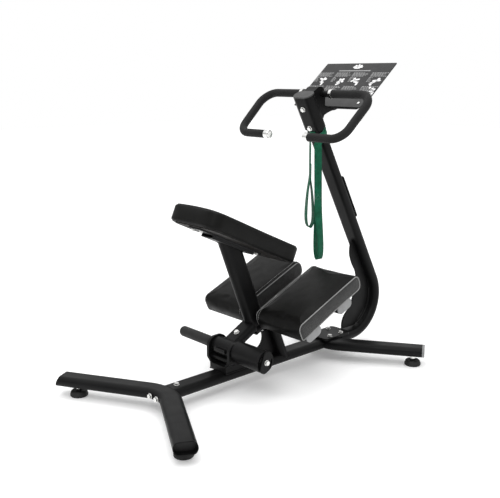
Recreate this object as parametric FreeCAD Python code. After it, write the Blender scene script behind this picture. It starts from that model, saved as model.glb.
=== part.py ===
import FreeCAD, Part
import math
import os

# Kneeling stretch machine: a seat and two knee pads that rock together on a low pivot,
# in front of a mast with a wrap-around handlebar, a placard and two hanging loops.
# Millimetres. +Z up, the floor is Z = 0, +X runs from the seat towards the mast, and
# Y = 0 is the machine's middle plane. The origin is on the floor under the middle.

V = FreeCAD.Vector
UP = V(0, 0, 1)
SIDE = V(0, 1, 0)

# ---- driving dimensions ----------------------------------------------------------------
TUBE_W = 80.0            # flat-oval steel tube, broad side
TUBE_H = 40.0            # flat-oval steel tube, thickness
WALL = 3.0
FRAME_Z = 59.0           # centre height of the beam and the legs
JOINT_GAP = 0.4          # clearance between bodies that move past each other
RUNNING_FIT = 0.05       # radial clearance of a shaft in its bush

REAR_APEX_X = -454.0
REAR_TIP = (-672.0, 382.0)
REAR_FOOT = (-632.0, 318.0)
FRONT_APEX_X = 330.0
FRONT_TIP = (570.2, 356.9)
FRONT_FOOT = (543.0, 331.0)
LEG_BEND_RADIUS = 140.0
LEG_CUT_ANGLE = 20.0     # the rear leg's ends are cut back at the top

FOOT_TOP_Z = 22.0
FOOT_BASE_R = 33.0
FOOT_TOP_R = 30.0
STUD_R = 5.0

MAST_LEAN = 28.7         # degrees back from vertical, towards the user
MAST_BEND_RADIUS = 157.0
MAST_BEND_X = 517.0
MAST_LENGTH = 908.0      # straight stretch above the bend
WEB_THICKNESS = 8.0
SLEEVE_LENGTH = 142.0
SLEEVE_GROWTH = 7.0      # how far the head sleeve stands proud of the mast

BAR_R = 12.7
GRIP_R = 16.0
BAR_X = 294.0
BAR_Z = 1093.0
BAR_CORNER_Y = 283.5
BAR_FRONT_X = 128.0
BAR_FRONT_Z = 939.0
BAR_FRONT_Y = 273.0
BAR_TIP_Y = 92.0
BAR_BEND_UPPER = 62.0
BAR_BEND_LOWER = 55.0
GRIP_START_Y = 74.0
CAP_LENGTH = 24.0

PLACARD_W = 364.0
PLACARD_LOW = (354.0, 1041.0)
PLACARD_HIGH = (557.0, 1209.0)
PLACARD_T = 3.0

PIVOT_X = -178.0
PIVOT_Z = 161.0
SHAFT_R = 12.0
HUB_R = 33.0
CHEEK_OUT = 65.0         # half of the housing's outer width
CHEEK_T = 12.0
CHEEK_R = 46.0           # half of a cheek's length along the beam
CHEEK_TOP = 37.0         # height of a cheek above the pivot
BARREL_R = 41.0
BARREL_END = -208.0
PEG_R = 17.0
PEG_END = 277.0
ARM_SLOPE = 28.0
ARM_END = 131.0
POST_LEAN = 21.5
POST_W = 84.0
POST_H = 44.0

SEAT_SLOPE = 24.6
SEAT_LENGTH = 448.0
SEAT_WIDTH = 262.0
SEAT_T = 52.0
SEAT_REAR_X = -346.0     # lower rear edge of the seat pad
SEAT_REAR_Z = 664.0
BOARD_T = 10.0

PAD_SLOPE = 23.0
PAD_LENGTH = 350.0
PAD_WIDTH = 228.0
PAD_T = 54.0
PAD_INNER_Y = 40.0
PAD_LOW_X = -51.0        # lower edge of the knee pads' boards, at the user's end
PAD_LOW_Z = 222.3

STRAP_W = 30.0
STRAP_T = 2.0
STRAP_TOP_Z = 945.0
LOOP_OPEN = 24.0         # how far a loop's two legs hang apart

# ---- directions that follow from them ----------------------------------------------------


def polar(angle):
    """Unit vector in the middle plane, angle in degrees above +X."""
    a = math.radians(angle)
    return V(math.cos(a), 0, math.sin(a))


MAST_UP = polar(90 + MAST_LEAN)
MAST_BACK = polar(MAST_LEAN)
ARM_DIR = polar(ARM_SLOPE)
ARM_NORMAL = polar(ARM_SLOPE + 90)
POST_UP = polar(90 + POST_LEAN)
POST_FRONT = polar(POST_LEAN)
SEAT_DIR = polar(-SEAT_SLOPE)
SEAT_UP = polar(90 - SEAT_SLOPE)
PAD_DIR = polar(PAD_SLOPE)
PAD_UP = polar(90 + PAD_SLOPE)
PIVOT = V(PIVOT_X, 0, PIVOT_Z)
MAST_CENTRE = V(MAST_BEND_X, 0, FRAME_Z + MAST_BEND_RADIUS)
MAST_START = MAST_CENTRE + MAST_BACK * MAST_BEND_RADIUS
MAST_TOP = MAST_START + MAST_UP * MAST_LENGTH
SEAT_ORIGIN = V(SEAT_REAR_X, 0, SEAT_REAR_Z)
PAD_ORIGIN = V(PAD_LOW_X, 0, PAD_LOW_Z)

parts = {}
frame_bolts = []          # collected while the base and the mast are made


# ---- shape helpers -----------------------------------------------------------------------
def frame_at(origin, x_dir, z_dir):
    """Placement whose local X and Z lie along x_dir and z_dir."""
    y_dir = z_dir.cross(x_dir)
    return FreeCAD.Placement(origin, FreeCAD.Rotation(x_dir, y_dir, z_dir, "ZXY"))


def flat_oval(width, height):
    """Closed wire with two flats and two half-round ends, width along X."""
    r = height / 2
    s = width / 2 - r
    bottom = Part.LineSegment(V(-s, -r, 0), V(s, -r, 0))
    right = Part.Arc(V(s, -r, 0), V(s + r, 0, 0), V(s, r, 0))
    top = Part.LineSegment(V(s, r, 0), V(-s, r, 0))
    left = Part.Arc(V(-s, r, 0), V(-s - r, 0, 0), V(-s, -r, 0))
    return Part.Wire([c.toShape() for c in (bottom, right, top, left)])


def circle_wire(radius):
    return Part.Wire([Part.Circle(V(0, 0, 0), UP, radius).toShape()])


def prism(wire, placement, length):
    """Solid made by pushing a local XY outline along the placement's Z."""
    face = Part.Face(wire)
    solid = face.extrude(V(0, 0, length))
    solid.Placement = placement
    return solid


def oval_bar(start, direction, length, broad, width=TUBE_W, height=TUBE_H):
    """Solid flat-oval bar whose broad side lies along broad."""
    return prism(flat_oval(width, height), frame_at(start, broad, direction), length)


def oval_tube(start, direction, length, broad, width=TUBE_W, height=TUBE_H, wall=WALL):
    outer = oval_bar(start, direction, length, broad, width, height)
    inner_start = start - direction * 1
    inner = oval_bar(inner_start, direction, length + 2, broad, width - 2 * wall, height - 2 * wall)
    return outer.cut(inner)


def rod(start, direction, length, radius):
    return Part.makeCylinder(radius, length, start, direction)


def ring(start, direction, length, outer, inner):
    hole = rod(start - direction, direction, length + 2, inner)
    return rod(start, direction, length, outer).cut(hole)


def rounded_path(points, radii):
    """Wire of straight runs joined by tangent arcs, one radius for each inner point."""
    edges = []
    last = points[0]
    for i, radius in enumerate(radii, start=1):
        corner = points[i]
        into = (corner - points[i - 1]).normalize()
        away = (points[i + 1] - corner).normalize()
        half_turn = into.getAngle(away) / 2
        reach = radius * math.tan(half_turn)
        first = corner - into * reach
        second = corner + away * reach
        inward = (away - into).normalize()
        middle = corner + inward * (radius / math.cos(half_turn) - radius)
        if (first - last).Length > 0.01:
            edges.append(Part.LineSegment(last, first).toShape())
        edges.append(Part.Arc(first, middle, second).toShape())
        last = second
    if (points[-1] - last).Length > 0.01:
        edges.append(Part.LineSegment(last, points[-1]).toShape())
    return Part.Wire(edges)


def swept(path, wire, origin, x_dir, z_dir):
    """Solid of a local outline carried along a path that starts at origin."""
    section = wire.copy()
    section.Placement = frame_at(origin, x_dir, z_dir)
    return path.makePipeShell([section], True, False)


def side_plate(points, thickness, y_middle=0.0):
    """Plate in the middle plane from (x, z) outline points, closed by straight edges."""
    corners = [V(x, y_middle - thickness / 2, z) for x, z in points]
    corners.append(corners[0])
    return Part.Face(Part.makePolygon(corners)).extrude(V(0, thickness, 0))


def curved_plate(outline, thickness, y_middle=0.0):
    """Plate in the middle plane; an outline item of two points is an arc's middle and end."""
    def at(point):
        return V(point[0], y_middle - thickness / 2, point[1])
    start = outline[0]
    last = start
    edges = []
    for item in outline[1:] + [start]:
        if isinstance(item[0], tuple):
            edges.append(Part.Arc(at(last), at(item[0]), at(item[1])).toShape())
            last = item[1]
        else:
            edges.append(Part.LineSegment(at(last), at(item)).toShape())
            last = item
    return Part.Face(Part.Wire(edges)).extrude(V(0, thickness, 0))


def hex_bolt(seat, outward, shank, radius=5.0):
    """Hex bolt whose head sits on seat and points outward, with a washer."""
    washer = ring(seat, outward, 1.5, radius * 2.1, radius)
    head_start = seat + outward * 1.5
    across = radius * 1.85
    side = outward.cross(SIDE)
    if side.Length < 0.5:
        side = outward.cross(UP)
    side.normalize()
    corners = []
    for k in range(7):
        turn = FreeCAD.Rotation(outward, 60 * k)
        corners.append(head_start + turn.multVec(side) * across)
    head = Part.Face(Part.makePolygon(corners)).extrude(outward * radius * 1.25)
    body = rod(seat - outward * shank, outward, shank + 1.5, radius)
    return head.fuse(body).fuse(washer)


def group(solids):
    return Part.makeCompound(solids)


def bores(shape, seats, outward, depth, radius=5.0):
    """Cut one bolt hole for each seat."""
    for seat in seats:
        shape = shape.cut(rod(seat - outward * depth, outward, depth + 20, radius))
    return shape


# ---- base frame --------------------------------------------------------------------------
def leg_path(apex_x, tip):
    far = V(tip[0], tip[1], FRAME_Z)
    apex = V(apex_x, 0, FRAME_Z)
    near = V(tip[0], -tip[1], FRAME_Z)
    return far, rounded_path([far, apex, near], [LEG_BEND_RADIUS])


def leg_solid(apex_x, tip, width, height):
    far, path = leg_path(apex_x, tip)
    along = V(apex_x - tip[0], -tip[1], 0).normalize()
    return swept(path, flat_oval(width, height), far, along.cross(UP), along)


def leg_cutters(tip, outward_x, angle):
    """Wedge blocks that trim both ends of a leg back towards the top."""
    blocks = []
    for sign in (1, -1):
        out = V(outward_x, sign * abs(tip[1]), 0).normalize()
        lift = FreeCAD.Rotation(out.cross(UP), angle)
        normal = lift.multVec(out)
        start = V(tip[0], sign * tip[1], FRAME_Z) - out * 6
        blocks.append(prism(circle_wire(120), frame_at(start, normal.cross(SIDE).normalize(), normal), 80))
    return blocks


def rear_leg_direction(sign):
    return V(REAR_TIP[0] - REAR_APEX_X, sign * REAR_TIP[1], 0).normalize()


def front_leg_direction(sign):
    return V(FRONT_TIP[0] - FRONT_APEX_X, sign * FRONT_TIP[1], 0).normalize()


BEAM_START = REAR_APEX_X - 10
BEAM_END = FRONT_APEX_X + 10
BEAM_TOP_BOLTS = [V(-418, 0, FRAME_Z + TUBE_H / 2), V(277, 0, FRAME_Z + TUBE_H / 2)]
LEG_BOLTS_Y = (-19.0, 19.0)
WELD_GAP = 0.4
REAR_BOLT_X = REAR_APEX_X - 66      # just clear of the leg's hollow rear side
FLANGE_T = 10.0
FLANGE_TOP = FRAME_Z + TUBE_H / 2 + FLANGE_T
FLANGE_BOLTS = [V(x, y, FLANGE_TOP) for x in (362.0, 432.0) for y in (-36.0, 36.0)]


def make_leg(apex_x, tip, slanted):
    outer = leg_solid(apex_x, tip, TUBE_W, TUBE_H)
    inner = leg_solid(apex_x, tip, TUBE_W - 2 * WALL, TUBE_H - 2 * WALL)
    leg = outer.cut(inner)
    if slanted:
        for block in leg_cutters(tip, tip[0] - apex_x, LEG_CUT_ANGLE):
            leg = leg.cut(block)
    return leg


def foot_places():
    places = {}
    for end, (x, y) in (("rear", REAR_FOOT), ("front", FRONT_FOOT)):
        places[end + "_left"] = V(x, y, 0)
        places[end + "_right"] = V(x, -y, 0)
    return places


def drill_leg(leg, names):
    places = foot_places()
    for name in names:
        centre = places[name]
        leg = leg.cut(rod(V(centre.x, centre.y, 30), UP, 30, STUD_R + RUNNING_FIT))
    return leg


def make_base():
    rear = make_leg(REAR_APEX_X, REAR_TIP, True)
    front = make_leg(FRONT_APEX_X, FRONT_TIP, False)
    rear_hull = leg_solid(REAR_APEX_X, REAR_TIP, TUBE_W + WELD_GAP, TUBE_H + WELD_GAP)
    front_hull = leg_solid(FRONT_APEX_X, FRONT_TIP, TUBE_W + WELD_GAP, TUBE_H + WELD_GAP)
    along = V(1, 0, 0)
    beam = oval_tube(V(BEAM_START, 0, FRAME_Z), along, BEAM_END - BEAM_START, SIDE)
    beam = beam.cut(rear_hull).cut(front_hull)
    beam = max(beam.Solids, key=lambda s: s.Volume)
    beam = bores(beam, BEAM_TOP_BOLTS, UP, 8)
    spigots = []
    for x, way in ((REAR_APEX_X, 1), (FRONT_APEX_X, -1)):
        width = TUBE_W - 2 * WALL - 1
        height = TUBE_H - 2 * WALL - 1
        block = oval_bar(V(x, 0, FRAME_Z), V(way, 0, 0), 80, SIDE, width, height)
        core = oval_bar(V(x - way, 0, FRAME_Z), V(way, 0, 0), 82, SIDE, width - 8, height - 8)
        spigots.append(block.cut(core).cut(rear_hull).cut(front_hull))
    spigots = [max(s.Solids, key=lambda s: s.Volume) for s in spigots]
    spigots = [bores(s, BEAM_TOP_BOLTS, UP, 14) for s in spigots]
    rear_seats = [V(REAR_BOLT_X, y, FRAME_Z) for y in LEG_BOLTS_Y]
    for seat in rear_seats:
        rear = rear.cut(rod(seat - V(10, 0, 0), along, 30, 5))
    rear = drill_leg(rear, ("rear_left", "rear_right"))
    front = drill_leg(front, ("front_left", "front_right"))
    front = bores(front, FLANGE_BOLTS, UP, 24)
    parts["main_beam"] = beam
    parts["beam_spigots"] = group(spigots)
    parts["rear_leg"] = rear
    parts["front_leg"] = front
    frame_bolts.extend([hex_bolt(s, UP, 12) for s in BEAM_TOP_BOLTS])
    frame_bolts.extend([hex_bolt(s, V(-1, 0, 0), 14) for s in rear_seats])


CAP_FACE = 10.0          # thickness of the front leg's caps outside the tube


def make_leg_caps():
    """Plastic plugs: recessed in the rear leg's slanted ends, flush and domed in the front leg's."""
    rear_caps = []
    front_caps = []
    core_w = TUBE_W - 2 * WALL
    core_h = TUBE_H - 2 * WALL
    for sign in (1, -1):
        out = rear_leg_direction(sign)
        tip = V(REAR_TIP[0], sign * REAR_TIP[1], FRAME_Z)
        rear_caps.append(oval_bar(tip - out * 34, out, 8, UP.cross(out), core_w, core_h))
        out = front_leg_direction(sign)
        tip = V(FRONT_TIP[0], sign * FRONT_TIP[1], FRAME_Z)
        plug = oval_bar(tip - out * 18, out, 18, UP.cross(out), core_w, core_h)
        face = oval_bar(tip, out, CAP_FACE, UP.cross(out), TUBE_W, TUBE_H)
        rim = [e for e in face.Edges if abs((e.CenterOfMass - tip).dot(out) - CAP_FACE) < 0.1]
        front_caps.append(plug.fuse(face.makeFillet(3, rim)))
    parts["rear_leg_caps"] = group(rear_caps)
    parts["front_leg_caps"] = group(front_caps)


def make_feet():
    """Four screw-adjusted rubber feet and the welded nuts they turn in."""
    nuts = []
    for name, place in foot_places().items():
        profile = [V(0, 0, 0), V(FOOT_BASE_R - 3, 0, 0), V(FOOT_BASE_R, 0, 3), V(FOOT_BASE_R, 0, 9),
                   V(FOOT_TOP_R, 0, FOOT_TOP_Z - 4), V(FOOT_TOP_R - 4, 0, FOOT_TOP_Z),
                   V(STUD_R, 0, FOOT_TOP_Z), V(STUD_R, 0, 8), V(0, 0, 8), V(0, 0, 0)]
        pad = Part.Face(Part.makePolygon(profile)).revolve(V(0, 0, 0), UP, 360)
        pad.translate(place)
        stud = rod(place + V(0, 0, 8), UP, 60, STUD_R)
        collar = rod(place + V(0, 0, FOOT_TOP_Z), UP, 4, 12)
        parts["foot_" + name] = group([pad, stud.fuse(collar)])
        nut_z = FRAME_Z - TUBE_H / 2 - 10
        nuts.append(ring(place + V(0, 0, nut_z), UP, 10, 10.5, STUD_R + RUNNING_FIT))
    parts["foot_nuts"] = group(nuts)


# ---- mast ----------------------------------------------------------------------------------
MAST_FOOT_X = 400.0


def mast_solid(width, height, extra=0.0):
    foot = V(MAST_FOOT_X - extra, 0, FRAME_Z)
    low = V(MAST_BEND_X, 0, FRAME_Z)
    middle = MAST_CENTRE + polar((MAST_LEAN - 90) / 2) * MAST_BEND_RADIUS
    top = MAST_TOP + MAST_UP * extra
    edges = [Part.LineSegment(foot, low).toShape(),
             Part.Arc(low, middle, MAST_START).toShape(),
             Part.LineSegment(MAST_START, top).toShape()]
    return swept(Part.Wire(edges), flat_oval(width, height), foot, SIDE, V(1, 0, 0))


def make_mast():
    outer = mast_solid(TUBE_W, TUBE_H)
    inner = mast_solid(TUBE_W - 2 * WALL, TUBE_H - 2 * WALL, 1)
    leg_hull = leg_solid(FRONT_APEX_X, FRONT_TIP, TUBE_W, TUBE_H)
    mast = outer.cut(inner).cut(leg_hull)
    mast = max(mast.Solids, key=lambda s: s.Volume)
    bolt_seats = [MAST_START + MAST_UP * t - MAST_BACK * (TUBE_H / 2) for t in SLEEVE_BOLTS]
    mast = bores(mast, bolt_seats, MAST_BACK * -1, 6)
    flange = Part.makeBox(156, 108, FLANGE_T, V(320, -54, FLANGE_TOP - FLANGE_T))
    corners = [e for e in flange.Edges if abs(e.tangentAt(e.FirstParameter).z) > 0.9]
    flange = flange.makeFillet(18, corners)
    flange = bores(flange, FLANGE_BOLTS, UP, 14)
    web = make_web()
    parts["mast"] = bores(mast, FLANGE_BOLTS, UP, 24)
    parts["mast_flange"] = flange.cut(outer)
    parts["mast_web"] = web.cut(outer).cut(flange)
    frame_bolts.extend([hex_bolt(s, UP, 14) for s in FLANGE_BOLTS])


def make_web():
    """Wavy stiffening plate inside the mast's lower bend."""
    outline = [(540, 500), ((520, 454), (519, 410)), ((530, 380), (553, 343)), ((566, 293), (549, 235)),
               ((539, 198), (505, 157)), ((484, 130), (479, FLANGE_TOP)), (560, FLANGE_TOP),
               (640, 173), (650, 290)]
    return curved_plate(outline, WEB_THICKNESS)


SLEEVE_TOP_T = MAST_LENGTH
SLEEVE_BOLTS = (SLEEVE_TOP_T - 46, SLEEVE_TOP_T - 130)


def make_head():
    low = MAST_START + MAST_UP * (SLEEVE_TOP_T - SLEEVE_LENGTH)
    width = TUBE_W + 2 * SLEEVE_GROWTH
    height = TUBE_H + 2 * SLEEVE_GROWTH
    sleeve = oval_bar(low, MAST_UP, SLEEVE_LENGTH, SIDE, width, height)
    sleeve = sleeve.cut(oval_bar(low - MAST_UP, MAST_UP, SLEEVE_LENGTH + 2, SIDE, TUBE_W, TUBE_H))
    seats = [MAST_START + MAST_UP * t - MAST_BACK * (height / 2) for t in SLEEVE_BOLTS]
    sleeve = bores(sleeve, seats, MAST_BACK * -1, 12)
    cap = oval_bar(MAST_TOP, MAST_UP, 5, SIDE, width, height)
    rim = [e for e in cap.Edges if abs((e.CenterOfMass - MAST_TOP).dot(MAST_UP) - 5) < 0.1]
    cap = cap.makeFillet(2.5, rim)
    plug_w = TUBE_W - 2 * WALL
    plug_h = TUBE_H - 2 * WALL
    cap = cap.fuse(oval_bar(MAST_TOP - MAST_UP * 15, MAST_UP, 15, SIDE, plug_w, plug_h))
    parts["head_sleeve"] = sleeve
    parts["head_cap"] = cap
    frame_bolts.extend([hex_bolt(s, MAST_BACK * -1, 12) for s in seats])


BACK_PLATE = (202.0, 66.0, 6.0)
BACK_PLATE_T = 420.0     # distance of the plate's middle up the mast


def make_back_plate():
    """Cover plate on the back of the mast."""
    length, width, thickness = BACK_PLATE
    plate = Part.makeBox(length, width, thickness, V(-length / 2, -width / 2, 0))
    corners = [e for e in plate.Edges if abs(e.tangentAt(e.FirstParameter).z) > 0.9]
    plate = plate.makeFillet(7, corners)
    middle = MAST_START + MAST_UP * BACK_PLATE_T + MAST_BACK * (TUBE_H / 2)
    plate.Placement = frame_at(middle, MAST_UP, MAST_BACK)
    parts["mast_back_plate"] = plate


# ---- handlebar -----------------------------------------------------------------------------
BAR_REACH = V(BAR_FRONT_X - BAR_X, 0, BAR_FRONT_Z - BAR_Z)


def bar_point(y, front):
    base = V(BAR_X, y, BAR_Z)
    if front:
        return base + BAR_REACH
    return base


def bar_points(sign, inner_y, tip_y):
    upper = bar_point(sign * BAR_CORNER_Y, False)
    lower = bar_point(sign * BAR_FRONT_Y, True)
    return [bar_point(sign * inner_y, False), upper, lower, bar_point(sign * tip_y, True)]


def make_handlebar():
    right = bar_points(-1, 0, BAR_TIP_Y + 3)
    left = bar_points(1, 0, BAR_TIP_Y + 3)
    points = list(reversed(left[1:])) + right[1:]
    radii = [BAR_BEND_LOWER, BAR_BEND_UPPER, BAR_BEND_UPPER, BAR_BEND_LOWER]
    path = rounded_path(points, radii)
    along = V(0, 1, 0)
    side = V(BAR_REACH).normalize()
    parts["handlebar"] = swept(path, circle_wire(BAR_R), points[0], side, along)
    rings = []
    caps = []
    for sign, name in ((1, "left"), (-1, "right")):
        ends = bar_points(sign, GRIP_START_Y + 9, BAR_TIP_Y + CAP_LENGTH)
        path = rounded_path(ends, [BAR_BEND_UPPER, BAR_BEND_LOWER])
        way = V(0, sign, 0)
        outer = swept(path, circle_wire(GRIP_R), ends[0], side, way)
        inner = swept(path, circle_wire(BAR_R), ends[0], side, way)
        parts["grip_" + name] = outer.cut(inner)
        start = bar_point(sign * GRIP_START_Y, False)
        rings.append(ring(start - way * 4, way, 13, GRIP_R + 2, BAR_R))
        tip = bar_point(sign * BAR_TIP_Y, True)
        cap = rod(tip, way, CAP_LENGTH, GRIP_R + 0.5)
        nose = [e for e in cap.Edges if abs(e.CenterOfMass.y - tip.y) < 0.1]
        cap = cap.makeFillet(5, nose)
        caps.append(cap.cut(rod(tip + way * 3, way, CAP_LENGTH, BAR_R)))
    parts["grip_rings"] = group(rings)
    parts["bar_caps"] = group(caps)


CLAMP_HALF = 28.0
CLAMP_WALL = 7.0


def clamp_outline(inset):
    """Saddle outline from the head sleeve over the handlebar and down the sleeve's back."""
    low = MAST_TOP - MAST_UP * 112
    return [(MAST_TOP.x, MAST_TOP.z - inset),
            (BAR_X - 30, BAR_Z + 21 - inset),
            ((BAR_X - 13, BAR_Z + 28 - inset), (BAR_X + 5, BAR_Z + 21 - inset)),
            (BAR_X + 17 - inset, BAR_Z + 7 - inset),
            (BAR_X + 17 - inset, BAR_Z - 76),
            (BAR_X + 8 - inset, BAR_Z - 94 + inset),
            (low.x, low.z + inset)]


def make_clamp():
    """Folded saddle that ties the handlebar's middle to the head sleeve."""
    low = MAST_TOP - MAST_UP * (SLEEVE_LENGTH + 60)
    hull = oval_bar(low, MAST_UP, 300, SIDE, TUBE_W + 2 * SLEEVE_GROWTH, TUBE_H + 2 * SLEEVE_GROWTH)
    bar_hole = rod(bar_point(0, False) - SIDE * 60, SIDE, 120, BAR_R)
    hood = curved_plate(clamp_outline(0), 2 * CLAMP_HALF)
    hollow = curved_plate(clamp_outline(CLAMP_WALL), 2 * (CLAMP_HALF - CLAMP_WALL))
    clamp = hood.cut(hollow).cut(hull).cut(bar_hole)
    parts["bar_clamp"] = max(clamp.Solids, key=lambda solid: solid.Volume)


# ---- placard -------------------------------------------------------------------------------
TRAY_T = 3.0
TRAY_ARM_Y = 24.0


def make_placard():
    low = V(PLACARD_LOW[0], 0, PLACARD_LOW[1])
    high = V(PLACARD_HIGH[0], 0, PLACARD_HIGH[1])
    slope = (high - low)
    length = slope.Length
    slope.normalize()
    normal = SIDE.cross(slope) * -1
    place = FreeCAD.Placement(low, FreeCAD.Rotation(slope, SIDE, normal, "ZXY"))
    sheet = Part.makeBox(length, PLACARD_W, PLACARD_T, V(0, -PLACARD_W / 2, 0))
    corners = [e for e in sheet.Edges if abs(e.tangentAt(e.FirstParameter).z) > 0.9]
    sheet = sheet.makeFillet(4, corners)
    sheet.Placement = place
    screws = []
    half = PLACARD_W / 2 - 36
    for y in (-half, half):
        for s in (24.0, 112.0):
            seat = place.multVec(V(s, y, PLACARD_T))
            sheet = sheet.cut(rod(seat - normal * 12, normal, 20, 2.5))
            head = rod(seat, normal, 2.2, 5)
            screws.append(head.fuse(rod(seat - normal * 8, normal, 9, 2.5)))
    back = Part.makeBox(136, 320, TRAY_T, V(-6, -160, -TRAY_T))
    corners = [e for e in back.Edges if abs(e.tangentAt(e.FirstParameter).z) > 0.9]
    back = back.makeFillet(10, corners)
    back.Placement = place
    for screw in screws:
        back = back.cut(screw)
    lip = place.multVec(V(-6, 0, -TRAY_T))
    far = place.multVec(V(92, 0, -TRAY_T / 2))
    arm_outline = [(BAR_X + 12, BAR_Z - 43), (lip.x - 8, lip.z + 5), (lip.x + 1, lip.z + 1), (far.x, far.z),
                   (far.x, far.z - 18), ((lip.x + 44, lip.z + 4), (lip.x + 4, lip.z - 7)),
                   ((lip.x - 15, lip.z - 12), (BAR_X + 12, BAR_Z - 83))]
    bracket = back
    for y in (-TRAY_ARM_Y, TRAY_ARM_Y):
        bracket = bracket.fuse(curved_plate(arm_outline, 8, y))
    parts["placard"] = sheet
    parts["placard_bracket"] = bracket.cut(parts["bar_clamp"])
    parts["placard_screws"] = group(screws)


# ---- pivot housing and rest ------------------------------------------------------------------
def make_housing():
    """Cradle with two rounded cheeks that stands astride the beam."""
    top = PIVOT_Z + CHEEK_TOP + 1
    waist = 122.0
    foot_y = 46.0
    floor = FRAME_Z + TUBE_H / 2
    section = [V(0, -CHEEK_OUT, top), V(0, -CHEEK_OUT, waist), V(0, -foot_y, 104), V(0, -foot_y, floor),
               V(0, foot_y, floor), V(0, foot_y, 104), V(0, CHEEK_OUT, waist), V(0, CHEEK_OUT, top),
               V(0, CHEEK_OUT - CHEEK_T, top), V(0, CHEEK_OUT - CHEEK_T, waist + 4),
               V(0, foot_y - 9, 104), V(0, -foot_y + 9, 104),
               V(0, -CHEEK_OUT + CHEEK_T, waist + 4), V(0, -CHEEK_OUT + CHEEK_T, top)]
    section.append(section[0])
    channel = Part.Face(Part.makePolygon(section)).extrude(V(2 * CHEEK_R + 20, 0, 0))
    channel.translate(V(PIVOT_X - CHEEK_R, 0, 0))
    left = PIVOT_X - CHEEK_R
    right = PIVOT_X + CHEEK_R
    crown = PIVOT_Z + CHEEK_TOP
    outline = [(left, PIVOT_Z), ((left + 9, crown - 12), (left + 32, crown)), (right - 32, crown),
               ((right - 9, crown - 12), (right, PIVOT_Z)), (right + 14, floor), (left, floor)]
    profile = curved_plate(outline, 3 * CHEEK_OUT)
    housing = channel.common(profile)
    bush_r = SHAFT_R + 4
    housing = housing.cut(rod(V(PIVOT_X, -CHEEK_OUT - 5, PIVOT_Z), SIDE, 2 * CHEEK_OUT + 10, bush_r))
    stop = V(PIVOT_X - 27, -CHEEK_OUT + CHEEK_T, PIVOT_Z - 38)
    parts["pivot_housing"] = housing
    parts["stop_bar"] = rod(stop, SIDE, 2 * (CHEEK_OUT - CHEEK_T), 8).cut(housing)
    bushes = []
    for y in (-CHEEK_OUT, CHEEK_OUT - CHEEK_T):
        bushes.append(ring(V(PIVOT_X, y, PIVOT_Z), SIDE, CHEEK_T, bush_r, SHAFT_R + RUNNING_FIT))
    parts["pivot_bushes"] = group(bushes)


def make_barrel():
    """Spring housing on the right cheek, with the rubber torsion spring inside it."""
    out = V(0, -1, 0)
    start = V(PIVOT_X, -CHEEK_OUT, PIVOT_Z)
    length = -CHEEK_OUT - BARREL_END
    barrel = ring(start, out, length, BARREL_R, BARREL_R - 5)
    parts["spring_barrel"] = barrel
    parts["torsion_rubber"] = ring(start + out * 10, out, length - 24, BARREL_R - 5, SHAFT_R + RUNNING_FIT)


PEG_RUBBER = 4.0


def make_peg():
    """Step peg on the left cheek with a round-nosed rubber sleeve."""
    start = V(PIVOT_X, CHEEK_OUT, PIVOT_Z)
    length = PEG_END - CHEEK_OUT
    core = ring(start, SIDE, length - 12, PEG_R, PEG_R - 4)
    core = core.cut(rod(start, SIDE, 14, SHAFT_R + 1))
    sleeve = rod(start + SIDE * 6, SIDE, length - 6, PEG_R + PEG_RUBBER)
    tip = [e for e in sleeve.Edges if abs(e.CenterOfMass.y - PEG_END) < 0.1]
    sleeve = sleeve.makeFillet(16, tip)
    sleeve = sleeve.fuse(rod(start + SIDE * 6, SIDE, 8, PEG_R + PEG_RUBBER + 3))
    sleeve = sleeve.cut(rod(start, SIDE, length - 12, PEG_R))
    parts["peg_tube"] = core
    parts["peg_sleeve"] = sleeve


BUMPER_T = 12.0
REST_S = 80.0            # place of the rest along the knee pads
REST_LEAN = 22.0


def make_rest():
    """Post and gusset on the beam that carry the low cross tube through a rubber bumper."""
    lean = polar(90 + REST_LEAN)
    floor = FRAME_Z + TUBE_H / 2
    head = PAD_ORIGIN + PAD_DIR * REST_S - PAD_UP * (TUBE_H + JOINT_GAP + BUMPER_T)
    reach = (head.z - floor) / lean.z
    foot = head - lean * reach
    hull = oval_bar(foot - lean * 30, lean, reach + 60, SIDE)
    core = oval_bar(foot - lean * 31, lean, reach + 62, SIDE, TUBE_W - 2 * WALL, TUBE_H - 2 * WALL)
    above = prism(circle_wire(200), frame_at(head - PAD_UP * 4, PAD_DIR, PAD_UP), 200)
    below = Part.makeBox(400, 200, 200, V(foot.x - 200, -100, FRAME_Z - 200))
    beam_hull = oval_bar(V(BEAM_START, 0, FRAME_Z), V(1, 0, 0), BEAM_END - BEAM_START, SIDE)
    post = hull.cut(core).cut(above).cut(below).cut(beam_hull)
    post = max(post.Solids, key=lambda s: s.Volume)
    lid = oval_bar(head - PAD_UP * 4, PAD_UP, 4, SIDE, TUBE_W + 4, TUBE_H + 4)
    bumper = oval_bar(head, PAD_UP, BUMPER_T, SIDE, TUBE_W - 8, TUBE_H - 6)
    x, z = head.x, head.z
    outline = [(x - 45, z - 23), ((x - 42, z - 54), (x - 64, z - 82)), ((x - 84, z - 104), (x - 110, floor)),
               (foot.x, floor), (x, z - 12)]
    gusset = curved_plate(outline, 8)
    parts["rest_post"] = post.fuse(lid)
    parts["rest_gusset"] = gusset.cut(hull).cut(lid)
    parts["rest_bumper"] = bumper


# ---- rocker --------------------------------------------------------------------------------
ARM_START = 48.0
STUB_END = 104.0
ARM_BOLT_T = 66.0
RAIL_W = 60.0
RAIL_END = 318.0         # the rail's length past the pads' lower edge
RAIL_ORIGIN = PAD_ORIGIN - PAD_UP * (TUBE_H / 2)


def arm_hull(start=ARM_START, length=ARM_END - ARM_START):
    return oval_bar(PIVOT + ARM_DIR * start, ARM_DIR, length, SIDE)


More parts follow.
